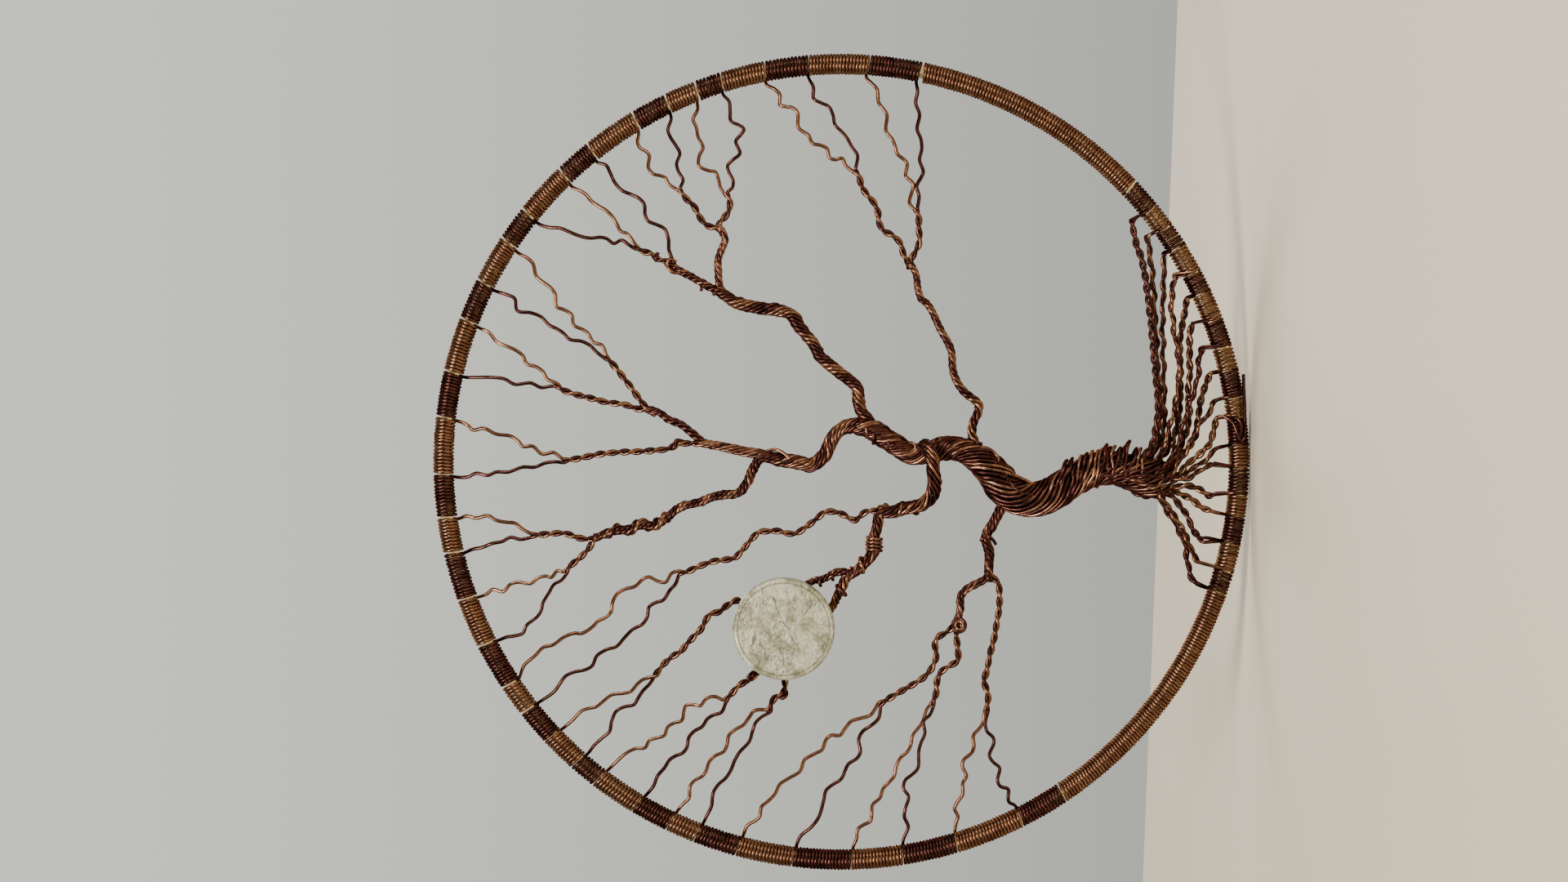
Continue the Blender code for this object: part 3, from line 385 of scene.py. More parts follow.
# Prongs: two thin twists of wire under the stone, with cut ends and a binding turn standing out. Each
# runs behind the stone's rim to the ring that carries it.
STONE_AT = Vector((-40.8, 0, 114.1))
RING_Y = 2.85
LEFT_PRONG = ((-27.6, 98, 0), (-28.8, 99, 0), (-30, 99.5, 0), (-32, 100.5, 0.1), (-33.5, 101.2, 0.8),
              (-35, 101.8, 2), (-37, 103.1, RING_Y))
wires = twisted(flat(LEFT_PRONG), (2.7, 2.6, 2.2, 2.0), 32, 35)
wires.append((bit((-31, 100.6, -1), (-31.7, 99.6, -1.2), (-32.4, 98.9, -0.9), (-32.7, 98.9, -0.2)),
              DARK_WIRE))
wires.append((spun(flat(((-30.4, 99.7), (-32.3, 100.6))), (1.35, 1.3), 0, 75, random.Random(6), 0.1, 0.2),
              AGED_WIRE))
piece("prong_left", wires)
RIGHT_PRONG = ((-27.6, 97.8, 0), (-27.1, 99.2, 0), (-27, 101, 0), (-28, 102.8, 0.1), (-28.8, 104.5, 0.6),
               (-29.2, 106.5, 1.9), (-30.4, 108.9, RING_Y))
wires = twisted(flat(RIGHT_PRONG), (2.3, 2.0, 1.9, 1.8), 32, 36)
wires.append((bit((-27.3, 102.6, -0.9), (-28, 102.2, -1.2), (-29, 102, -0.6)), DARK_WIRE))
wires.append((bit((-29, 105.4, -0.6), (-29.8, 105.2, -0.6), (-30.4, 105, -0.1)), DARK_WIRE))
piece("prong_right", wires)


# Middle bough: ten wires up from the trunk's top, twisted hard. It forks into a left limb, rough with
# binding turns, and an upright one that gives off a right limb.
MIDDLE = ((7.5, 91), (9, 95), (9, 97), (8, 100), (5.5, 102.3), (2, 103.8), (0.3, 105.5), (-0.8, 107.5),
          (0, 111), (0.3, 114), (1, 117), (1.6, 120.3))
wires = twisted(flat(MIDDLE), (4, 3.6, 3.5, 3.5, 3.6, 3), 34, 41, 0.34)
wires.append((bit((0.8, 112.6, -1.6), (2.2, 114.2, -1.4), (3, 116.2, -0.9), (2.6, 118.4, -0.8)), AGED_WIRE))
piece("bough_middle", wires)
MIDDLE_LEFT = ((1.6, 117.8), (0.5, 120.2), (-2, 121.7), (-5, 123), (-7.5, 125), (-8, 127.5), (-8.5, 131),
               (-10, 135), (-11, 139), (-13, 142), (-15.5, 145.5), (-15.5, 149), (-16.5, 152), (-17, 156),
               (-18.6, 160.3))
wires = twisted(flat(MIDDLE_LEFT), (2.6, 2.4, 2.3, 2.2, 2.3, 2.4, 2), 36, 42, 0.3)
KNOBBY = ((-13.4, 142.6), (-15.5, 145.8), (-15.5, 149), (-16.5, 152), (-17, 156), (-18, 158.5))
wires.append((spun(flat(KNOBBY), (1.2, 1.35, 1.3, 1.15), 2, 58, random.Random(7), 0.3), DARK_WIRE))
wires.append((spun(flat(KNOBBY), (1.1, 1.25, 1.2, 1.05), 5, 50, random.Random(8), 0.3), AGED_WIRE))
piece("bough_middle_left", wires)
MIDDLE_TOP = ((1.2, 117.2), (2, 120.5), (2.5, 123.5), (3.2, 127), (4, 130.5), (4.6, 134.3))
piece("bough_middle_top", twisted(flat(MIDDLE_TOP), (2.8, 2.6, 2.4, 2), 26, 43))
MIDDLE_RIGHT = ((3.9, 131.5), (5, 134), (7, 136.5), (9, 139), (10.3, 142), (12.3, 145), (13.1, 147.8))
piece("bough_middle_right", twisted(flat(MIDDLE_RIGHT), (2, 2.1, 2, 1.7), 28, 44))


# Right bough: seven wires that lean out over the right, forking upwards and outwards, with a few
# cut ends and a knobby turn where the single twig leaves.
RIGHT = ((6.5, 91.4), (8.6, 92.8), (10.5, 93.6), (12.5, 95.2), (15, 95.7), (18, 96), (20, 98), (21.5, 100),
         (24, 103), (26, 105.3), (28.5, 106.5), (31, 108.5), (33.5, 110.5), (36, 112), (37, 115),
         (37.5, 118.5), (38, 122), (39, 125.5), (40.5, 128), (42.3, 130.6))
wires = twisted(flat(RIGHT), (3, 3.1, 3, 3, 3.2, 3.2, 2.7), 36, 51, 0.36)
wires.append((bit((29, 106.6, -1.2), (28, 105.2, -1.3), (27.4, 104.6, -0.6)), DARK_WIRE))
wires.append((bit((41.6, 130.8, -1), (40.7, 131.3, -0.8)), AGED_WIRE))
piece("bough_right", wires)
RIGHT_UP = ((41, 128.2), (42, 130.5), (43.5, 133.5), (45.5, 137), (47, 140), (48.9, 142.8))
wires = twisted(flat(RIGHT_UP), (2, 2.1, 2, 1.9), 32, 52)
wires.append((bit((43.3, 133.4, -0.9), (42.4, 134.2, -0.9), (41.9, 134.2, -0.6)), DARK_WIRE))
wires.append((bit((46.2, 139.4, -0.9), (46.4, 141.4, -1.3), (48, 142.6, -1.2), (49.6, 142, -0.6),
                  (48.9, 140.3, -0.2)), AGED_WIRE))
piece("bough_right_up", wires)
RIGHT_OUT = ((40.8, 128.6), (43, 129.8), (46, 130), (49, 130.2), (51.5, 129.5), (54, 128.5), (56, 128.8),
             (58, 130.3))
piece("bough_right_out", twisted(flat(RIGHT_OUT), (2, 2, 1.9, 1.7), 30, 53))


# Stone: a flat-backed round of pale green-cream stone, slightly domed, with a softened edge, cloudy
# inside and crossed by fine darker cracks. It stands in for a moon and shines like wax.
def turned(name, profile, steps, lumps=0.0):
    """A (radius, depth) profile spun round the stone's middle."""
    work = bmesh.new()
    corners = [work.verts.new((STONE_AT.x * MM + r * MM, y * MM, STONE_AT.z * MM)) for r, y in profile]
    edges = [work.edges.new(pair) for pair in zip(corners, corners[1:])]
    bmesh.ops.spin(work, geom=corners + edges, cent=STONE_AT * MM, axis=(0, 1, 0), angle=2 * math.pi,
                   steps=steps, use_merge=True)
    bmesh.ops.remove_doubles(work, verts=work.verts, dist=0.00001)
    bmesh.ops.recalc_face_normals(work, faces=work.faces)
    for vert in work.verts:
        swell = 1 + lumps * noise.noise(vert.co * 260)
        vert.co.x = STONE_AT.x * MM + (vert.co.x - STONE_AT.x * MM) * swell
        vert.co.z = STONE_AT.z * MM + (vert.co.z - STONE_AT.z * MM) * swell
    mesh = bpy.data.meshes.new(name.replace("_", "-"))
    work.to_mesh(mesh)
    work.free()
    mesh.shade_smooth()
    made = bpy.data.objects.new(mesh.name, mesh)
    bpy.context.collection.objects.link(made)
    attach(made, "root")
    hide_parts(name)
    return made


STONE_R = 12.5
EDGE_R = 1.2
FACE_R = STONE_R - EDGE_R
FRONT_Y, EDGE_Y, BACK_Y = -3.5, -1.6, 1.5
corner = [math.radians(9 * n) for n in range(11)]
edge = [(FACE_R + EDGE_R * math.sin(a), EDGE_Y - EDGE_R * math.cos(a)) for a in corner]
face = [(r, FRONT_Y + 0.7 * (r / FACE_R) ** 2) for r in (0, 2, 4, 6, 8, 9.6, 10.6)]
back = [(STONE_R, 1.2), (12.2, BACK_Y), (6, BACK_Y), (0, BACK_Y)]
stone = turned("moon_stone", face + edge + back, 96, 0.004)

pale = bpy.data.materials.new("pale stone")
pale.use_nodes = True
nodes = pale.node_tree.nodes
link = pale.node_tree.links.new
shader = nodes["Principled BSDF"]
where = nodes.new("ShaderNodeTexCoord")
clouds = nodes.new("ShaderNodeTexNoise")
clouds.inputs["Scale"].default_value = 260.0
clouds.inputs["Detail"].default_value = 6.0
clouds.inputs["Roughness"].default_value = 0.72
clouds.inputs["Distortion"].default_value = 0.5
link(where.outputs["Object"], clouds.inputs["Vector"])
shades = nodes.new("ShaderNodeValToRGB")
shades.color_ramp.elements[0].position = 0.36
shades.color_ramp.elements[0].color = (0.24, 0.245, 0.155, 1)
shades.color_ramp.elements[1].position = 0.60
shades.color_ramp.elements[1].color = (0.72, 0.72, 0.56, 1)
middle = shades.color_ramp.elements.new(0.46)
middle.color = (0.45, 0.44, 0.29, 1)
link(clouds.outputs["Fac"], shades.inputs["Fac"])
grain = nodes.new("ShaderNodeMapping")
grain.inputs["Rotation"].default_value = (0, math.radians(27), 0)
grain.inputs["Scale"].default_value = (0.5, 1.0, 1.35)
link(where.outputs["Object"], grain.inputs["Vector"])
fibres = nodes.new("ShaderNodeTexNoise")
fibres.inputs["Scale"].default_value = 780.0
fibres.inputs["Detail"].default_value = 5.0
fibres.inputs["Roughness"].default_value = 0.62
fibres.inputs["Distortion"].default_value = 1.6
link(grain.outputs["Vector"], fibres.inputs["Vector"])
thread = nodes.new("ShaderNodeValToRGB")
thread.color_ramp.elements[0].position = 0.43
thread.color_ramp.elements[0].color = (0, 0, 0, 1)
thread.color_ramp.elements[1].position = 0.53
thread.color_ramp.elements[1].color = (0, 0, 0, 1)
peak = thread.color_ramp.elements.new(0.48)
peak.color = (1, 1, 1, 1)
link(fibres.outputs["Fac"], thread.inputs["Fac"])
patches = nodes.new("ShaderNodeTexNoise")
patches.inputs["Scale"].default_value = 150.0
patches.inputs["Detail"].default_value = 3.0
link(grain.outputs["Vector"], patches.inputs["Vector"])
shown = nodes.new("ShaderNodeMapRange")
shown.inputs["From Min"].default_value = 0.32
shown.inputs["From Max"].default_value = 0.52
shown.inputs["To Max"].default_value = 0.95
link(patches.outputs["Fac"], shown.inputs["Value"])
faint = nodes.new("ShaderNodeMath")
faint.operation = "MULTIPLY"
link(thread.outputs["Color"], faint.inputs[0])
link(shown.outputs["Result"], faint.inputs[1])


STRAY = 1.3 * MM
CRACK_W = 0.34 * MM


def crack(x, z, angle, length, wobble):
    """How dark a single crack is: 1 on a wavering line through (x, z), 0 away from it and past its ends.

    angle is its slope, length is in millimetres, and a higher wobble makes it waver more often."""
    placed = nodes.new("ShaderNodeMapping")
    placed.vector_type = "TEXTURE"
    placed.inputs["Location"].default_value = (x * MM, 0, z * MM)
    placed.inputs["Rotation"].default_value = (0, math.radians(-angle), 0)
    link(where.outputs["Object"], placed.inputs["Vector"])
    waver = nodes.new("ShaderNodeTexNoise")
    waver.inputs["Scale"].default_value = wobble
    link(where.outputs["Object"], waver.inputs["Vector"])
    split = nodes.new("ShaderNodeSeparateXYZ")
    link(placed.outputs["Vector"], split.inputs["Vector"])
    shift = nodes.new("ShaderNodeMath")
    shift.operation = "MULTIPLY_ADD"
    shift.inputs[1].default_value = 2 * STRAY
    shift.inputs[2].default_value = -STRAY
    link(waver.outputs["Fac"], shift.inputs[0])
    off = nodes.new("ShaderNodeMath")
    off.operation = "ADD"
    link(split.outputs["Z"], off.inputs[0])
    link(shift.outputs["Value"], off.inputs[1])
    near = nodes.new("ShaderNodeMath")
    near.operation = "ABSOLUTE"
    link(off.outputs["Value"], near.inputs[0])
    width = nodes.new("ShaderNodeMapRange")
    width.inputs["From Max"].default_value = CRACK_W
    width.inputs["To Min"].default_value = 1.0
    width.inputs["To Max"].default_value = 0.0
    link(near.outputs["Value"], width.inputs["Value"])
    reach = nodes.new("ShaderNodeMath")
    reach.operation = "ABSOLUTE"
    link(split.outputs["X"], reach.inputs[0])
    inside = nodes.new("ShaderNodeMapRange")
    inside.inputs["From Min"].default_value = (length / 2 - 1.0) * MM
    inside.inputs["From Max"].default_value = length / 2 * MM
    inside.inputs["To Min"].default_value = 0.9
    inside.inputs["To Max"].default_value = 0.0
    link(reach.outputs["Value"], inside.inputs["Value"])
    both = nodes.new("ShaderNodeMath")
    both.operation = "MULTIPLY"
    link(width.outputs["Result"], both.inputs[0])
    link(inside.outputs["Result"], both.inputs[1])
    return both


CRACKS = (
    (-44, 111.5, 27, 6, 500), (-35, 116.2, 27, 6.5, 420), (-39.5, 113.6, 60, 4, 700), (-46, 119, 20, 7, 600),
    (-43, 121.5, -12, 6, 500), (-36, 108, 150, 5, 650), (-47, 114.5, 12, 6, 700),
)
dark_lines = faint
for x, z, angle, length, wobble in CRACKS:
    joined = nodes.new("ShaderNodeMath")
    joined.operation = "MAXIMUM"
    link(dark_lines.outputs[0], joined.inputs[0])
    link(crack(x, z, angle, length, wobble).outputs[0], joined.inputs[1])
    dark_lines = joined
veined = nodes.new("ShaderNodeMix")
veined.data_type = "RGBA"
veined.inputs["B"].default_value = (0.055, 0.045, 0.028, 1)
link(dark_lines.outputs[0], veined.inputs["Factor"])
link(shades.outputs["Color"], veined.inputs["A"])
# Painted shade runs round the stone where its face turns down to the rim: a thin dark line, then a pale one
# left at the stone's own colour, then darkening out to the rim's edge.
rim = nodes.new("ShaderNodeVectorMath")
rim.operation = "DISTANCE"
rim.inputs[1].default_value = STONE_AT * MM
squashed = nodes.new("ShaderNodeVectorMath")
squashed.operation = "MULTIPLY"
squashed.inputs[1].default_value = (1, 0, 1)
link(where.outputs["Object"], squashed.inputs[0])
link(squashed.outputs["Vector"], rim.inputs[0])
# A ramp of painted shade multiplied into the stone's colour: white keeps it, lower values darken it.
rim_shade_ramp = nodes.new("ShaderNodeValToRGB")
rim_shade_ramp.color_ramp.interpolation = "EASE"
rim_shade_ramp.color_ramp.elements[0].position = 0.0
rim_shade_ramp.color_ramp.elements[0].color = (1, 1, 1, 1)
rim_shade_ramp.color_ramp.elements[1].position = 1.0
rim_shade_ramp.color_ramp.elements[1].color = (0.40, 0.40, 0.34, 1)
# Stops of the painted rim shade: the thin dark line, the pale line and the start of the darkening edge.
PAINTED_RIM_STOPS = (
    (0.868, (1, 1, 1, 1)), (0.895, (0.42, 0.42, 0.36, 1)), (0.915, (1.0, 1.0, 0.97, 1)),
    (0.965, (0.95, 0.95, 0.9, 1)),
)
for place, shade in PAINTED_RIM_STOPS:
    rim_shade_ramp.color_ramp.elements.new(place).color = shade
outward = nodes.new("ShaderNodeMapRange")
outward.inputs["From Max"].default_value = (STONE_R + 0.1) * MM
link(rim.outputs["Value"], outward.inputs["Value"])
link(outward.outputs["Result"], rim_shade_ramp.inputs["Fac"])
rim_shaded = nodes.new("ShaderNodeMix")
rim_shaded.data_type = "RGBA"
rim_shaded.blend_type = "MULTIPLY"
rim_shaded.inputs["Factor"].default_value = 1.0
link(veined.outputs["Result"], rim_shaded.inputs["A"])
link(rim_shade_ramp.outputs["Color"], rim_shaded.inputs["B"])
link(rim_shaded.outputs["Result"], shader.inputs["Base Color"])
shader.inputs["Roughness"].default_value = 0.32
shader.inputs["Subsurface Weight"].default_value = 0.15
shader.inputs["Subsurface Radius"].default_value = (0.9, 0.8, 0.5)
shader.inputs["Subsurface Scale"].default_value = 0.0008
shader.inputs["Coat Weight"].default_value = 0.25
shader.inputs["Coat Roughness"].default_value = 0.15
stone.data.materials.append(pale)


# Behind the stone: the wire ring that carries it, lapped where its ends meet, and a bead of clear
# glue that holds the stone to the ring.
RING_R = 11.5
RING_POINTS = 150
LAP_FROM = 128
ring = []
for n in range(RING_POINTS):
    turn = math.radians(40 + n * 2.6)
    reach = RING_R - 0.9 * max(0, (n - LAP_FROM) / (RING_POINTS - LAP_FROM))
    depth = RING_Y + 0.1 * math.sin(n / 9)
    ring.append((STONE_AT.x + math.cos(turn) * reach, depth, STONE_AT.z + math.sin(turn) * reach))
piece("stone_cradle", [(ring, DARK_WIRE)])
around = [math.radians(30 * n) for n in range(13)]
bead = [(10.35 + 0.8 * math.cos(a), 2.15 + 0.65 * math.sin(a)) for a in around]
glue = turned("stone_glue", bead, 72, 0.04)
resin = bpy.data.materials.new("clear glue")
resin.use_nodes = True
shader = resin.node_tree.nodes["Principled BSDF"]
shader.inputs["Base Color"].default_value = (0.86, 0.85, 0.78, 1)
shader.inputs["Roughness"].default_value = 0.12
shader.inputs["Transmission Weight"].default_value = 0.75
shader.inputs["IOR"].default_value = 1.47
glue.data.materials.append(resin)


# Twigs: each wire leaves its stem, keeps the kinks of a wire that was twisted before, and winds
# round the hoop up to the twig before it. Routes run from the hoop inwards.
TWIGS = {
    1: ((-84.5, 57.2), (-83.5, 58.8), (-82, 59), (-80.3, 59), (-79.5, 61), (-78, 61.7), (-75, 61.2),
        (-73.5, 62.8), (-72, 63.7), (-69, 62.6), (-67.5, 62.8), (-66, 64.3), (-64, 64.7), (-61.8, 63.7)),
    2: ((-90.5, 72), (-88.5, 71.7), (-87, 71.3), (-85, 72.2), (-83, 71.3), (-81.5, 70.3), (-78.5, 70.2),
        (-77, 69.3), (-74.5, 70.3), (-73, 70), (-71.5, 68.3), (-70, 67.5), (-67, 67.6), (-65.5, 66.3),
        (-64, 65.3)),
    3: ((-93, 84.7), (-91.5, 84.2), (-89.5, 83.5), (-87, 84.5), (-85, 84.3), (-82, 83.5), (-80, 84.7),
        (-78, 84.3), (-76.5, 82.5), (-75, 81.2), (-71, 81), (-69, 80.5), (-66.5, 79.5), (-63.5, 79.8),
        (-62, 78.3)),
    4: ((-94.7, 97), (-92.5, 96.2), (-90, 95.8), (-89, 94.5), (-88, 92.8), (-86, 92.5), (-84, 92.3),
        (-82.3, 90.5), (-80, 89.7), (-78.5, 88.2), (-77, 87), (-74.5, 86.5), (-72.5, 85.5), (-71, 83.8),
        (-69.5, 83), (-67, 82.5), (-65, 81), (-63.5, 80), (-60.5, 79)),
    5: ((-94.5, 111), (-92, 110), (-89.5, 107.3), (-87, 105.5), (-83, 104.3), (-80.5, 103.7), (-79, 102),
        (-77.7, 100), (-75.5, 99), (-74, 98.2), (-72.5, 96), (-71, 95.3), (-68, 95.7), (-66, 94.7),
        (-64.5, 92.5), (-62.8, 90.8)),
    6: ((-91.8, 124), (-89.3, 123), (-88, 121), (-87, 120), (-84.5, 119.5), (-83, 117.8), (-81.5, 116.3),
        (-79, 115), (-77.5, 112.8), (-76, 110.3), (-75, 109.7), (-73, 109), (-71.5, 106.5), (-70.5, 104.7),
        (-68, 103.7), (-67, 102.5), (-67, 100.3), (-65.5, 99.2), (-63.5, 97.5), (-62.8, 95.3), (-62, 92.8)),
    7: ((-88.7, 133.8), (-87, 133), (-84.5, 131.8), (-81, 131.3), (-79, 130), (-77.5, 128.3), (-75.5, 127),
        (-73, 126), (-71, 124.8), (-68.5, 122.5), (-66, 121.7), (-64, 121), (-62.5, 119.5)),
    8: ((-85.8, 140.2), (-84, 138.8), (-82.5, 137.3), (-79.5, 137), (-78, 135.8), (-77, 134), (-75.5, 133),
        (-73.5, 132.3), (-72, 130.8), (-71, 128.8), (-69.5, 128), (-67, 127.5), (-65.5, 125.8), (-64.5, 124),
        (-62.5, 122.5), (-61, 121.3), (-60.7, 119)),
    9: ((-82, 148), (-79.5, 146), (-77, 145), (-75, 143.3), (-73, 142), (-72, 140.5), (-71.3, 138.8),
        (-70, 137.8), (-67.5, 137.3), (-66, 136), (-64.8, 134), (-63, 132.8), (-62, 131.3), (-61.3, 129.3)),
    10: ((-75.7, 157.2), (-73.5, 155), (-71.5, 152.8), (-70.3, 150.5), (-70, 148), (-68.3, 147),
         (-67.6, 145), (-67, 143.3), (-65, 142.5), (-64, 141), (-63.3, 139), (-61, 138.5), (-59.7, 138),
         (-59.5, 136), (-59.7, 134.5), (-58, 133), (-57.5, 131)),
    11: ((-71.8, 162.3), (-69.5, 160.5), (-67.5, 158.3), (-66, 156.7), (-63.5, 156.2), (-61, 155), (-60, 153),
         (-59.5, 150.8), (-58, 149.8), (-56, 148.5), (-54.5, 147), (-53, 146), (-51.5, 145.5)),
    12: ((-65.7, 168.6), (-63.5, 166), (-61, 163.5), (-60.3, 161.5), (-60, 160), (-58, 157.5), (-57, 156),
         (-56.7, 153.5), (-56.2, 151.5), (-54.5, 150), (-53.3, 148.5), (-52.7, 146.5), (-52.3, 145)),
    13: ((-59.3, 174.5), (-56.5, 170.5), (-54.5, 169), (-52.5, 167.5), (-51.5, 165.5), (-51, 163),
         (-50, 161), (-47.5, 159.8), (-46, 157.5), (-45.2, 155), (-43, 153), (-41, 151), (-39.8, 148.7),
         (-38, 147.5), (-35.5, 147), (-34.5, 145.5), (-33.8, 143.5), (-31.5, 142), (-29.8, 140.5)),
    14: ((-53.3, 179.2), (-50, 177.8), (-47.5, 175), (-45.5, 173), (-44.8, 170.5), (-43, 168), (-42, 165.5),
         (-42, 163.5), (-40.5, 161), (-39, 159.5), (-38, 157.5), (-36.8, 156.4), (-34.5, 156), (-32.5, 155),
         (-31.2, 153), (-30.5, 150.5), (-28.7, 148.5), (-28.2, 147), (-29.2, 145), (-29.5, 143),
         (-27.3, 141.5)),
    15: ((-43.8, 184), (-43, 182), (-42.7, 180), (-42, 178), (-40, 177), (-38, 174.5), (-36.5, 173.5),
         (-34.5, 173), (-32, 171.5), (-30, 170.3), (-29, 168.5)),
    16: ((-33.3, 189.3), (-32.5, 187), (-31.3, 185.5), (-31.8, 182.8), (-30, 181), (-29.5, 179), (-29.8, 176),
         (-28.5, 174.3), (-28, 172.5), (-28.3, 171), (-26.7, 169.5)),
    17: ((-22.5, 193), (-21.5, 190.5), (-21, 188), (-20, 185.5), (-19.5, 183), (-18.5, 181), (-19, 178.5)),
    18: ((-14, 194), (-13.3, 192), (-13.8, 189.5), (-13.2, 186.5), (-14.3, 184.5), (-14.8, 182), (-15, 180),
         (-16.5, 178)),
    19: ((-3.8, 194), (-3.7, 191.5), (-2.8, 189.5), (-3.3, 186.5), (-2.5, 184.5), (-2.5, 181.5), (-1.3, 178),
         (-1.3, 175), (-0.3, 172.5), (0, 170)),
    20: ((9.8, 193.5), (9, 191.7), (7.8, 190.3), (8.2, 187.5), (6.8, 184.5), (6.3, 181), (5, 179), (3.8, 178),
         (3.8, 175.5), (2, 173.5), (2, 172), (2.3, 170.5)),
    21: ((20.8, 192.5), (20.7, 190), (20.7, 186), (20.3, 182.5), (19, 180), (19.3, 176), (18.2, 173.5),
         (18.5, 171.3)),
    22: ((32.8, 188.7), (31.8, 186.5), (29.5, 184.5), (28.5, 182.5), (27.5, 180), (26, 178), (24, 177),
         (23.3, 174.8), (22, 173), (20.3, 172)),
    23: ((42, 185), (41, 182), (40, 180), (37, 179.3), (36.5, 176), (35.5, 173.5), (33.5, 171.5),
         (32.5, 169.5), (31.5, 168), (30, 166.5), (29.5, 163.5), (28.5, 161.5), (27, 160)),
    24: ((51.3, 179.3), (50, 177), (48.5, 175.5), (45.5, 174.7), (44, 173), (42.5, 171), (41, 170),
         (38, 169.7), (37.3, 168), (36, 166), (33.5, 165.5), (32.5, 163.5), (31.5, 162), (29.3, 160.7),
         (28.5, 158.5)),
    25: ((58.3, 174), (57.5, 171.5), (57.3, 169), (56.3, 166.5), (55.3, 164), (54.8, 161.5), (55, 159),
         (54.7, 157.5), (53.5, 155.7), (54.3, 153.8), (53.3, 152.2)),
    26: ((67.5, 166), (66.5, 164), (65.5, 162.5), (64, 161.3), (62.7, 159.5), (61.5, 157.5), (60, 156),
         (58, 154.8), (56.5, 154), (55.8, 152.3)),
    27: ((73.7, 160), (72.8, 157.7), (71, 156.7), (68.5, 155.5), (66.5, 153.7), (65.5, 151.5), (64.5, 149.5),
         (63, 148.2), (60.5, 148), (59, 147.3), (58, 145), (57, 143.2), (54.5, 142.3), (52, 142.2),
         (50.5, 141.7)),
    28: ((80.5, 149.7), (78.5, 150), (77, 149.3), (76, 147.7), (75, 147), (72, 147.2), (70.5, 146), (70, 144),
         (69.5, 143), (68, 142.2)),
    29: ((85, 141.8), (84, 141.7), (81.5, 142.5), (79.5, 141.8), (77.5, 140.5), (75.5, 139.5), (73, 140.3),
         (71, 139.8), (69, 138.7)),
    30: ((88, 135.3), (86.5, 135.2), (84, 136.3), (82, 135.5), (79.5, 135), (77, 133.8), (75, 134.7),
         (72.5, 134.8), (71.3, 132.5), (71, 130.8), (69, 130), (67.3, 129.6)),
    31: ((90.3, 129), (88.5, 127.5), (86, 127.2), (83.5, 127), (82.5, 125), (81.5, 123.8), (80, 124.7),
         (78.5, 125.8), (75.5, 124.8), (74, 126.5), (72.5, 127.8), (71, 127.5), (69, 126.5), (67.3, 126.6)),
    32: ((92.7, 118.3), (91.5, 116.3), (90, 115), (87.5, 115), (87, 113.5), (86.7, 112), (85.5, 110.7),
         (82, 110.5), (81, 109.5), (80, 108), (78, 107), (77.5, 105), (76.7, 103.5), (74.5, 102.8),
         (74, 101.5), (74.3, 99.8), (72.5, 98.8)),
    33: ((94.5, 108), (92, 106.8), (89, 106.7), (88, 105), (87, 103), (85, 102), (82.5, 101.5), (81, 100),
         (79.5, 98.7), (77, 97.3), (75, 96), (73, 96.2)),
    34: ((94.5, 93.8), (93, 92.5), (91.5, 91.2), (88, 90.8), (86.5, 89.7), (85, 88.8), (81, 89), (79, 87.5),
         (77, 86.7), (75.5, 86.3), (74, 84.5), (73, 83.8), (70, 84.2), (69, 83.2), (68, 82.3), (66, 82.7),
         (63.5, 83.3)),
    35: ((93.5, 81.5), (91, 81.2), (88, 81.7), (85, 80.8), (81.5, 81.4), (79, 80.5), (76.5, 80.3), (74, 80.8),
         (71, 79.9), (69.5, 80.5), (67.5, 81.5), (65, 80.9)),
}
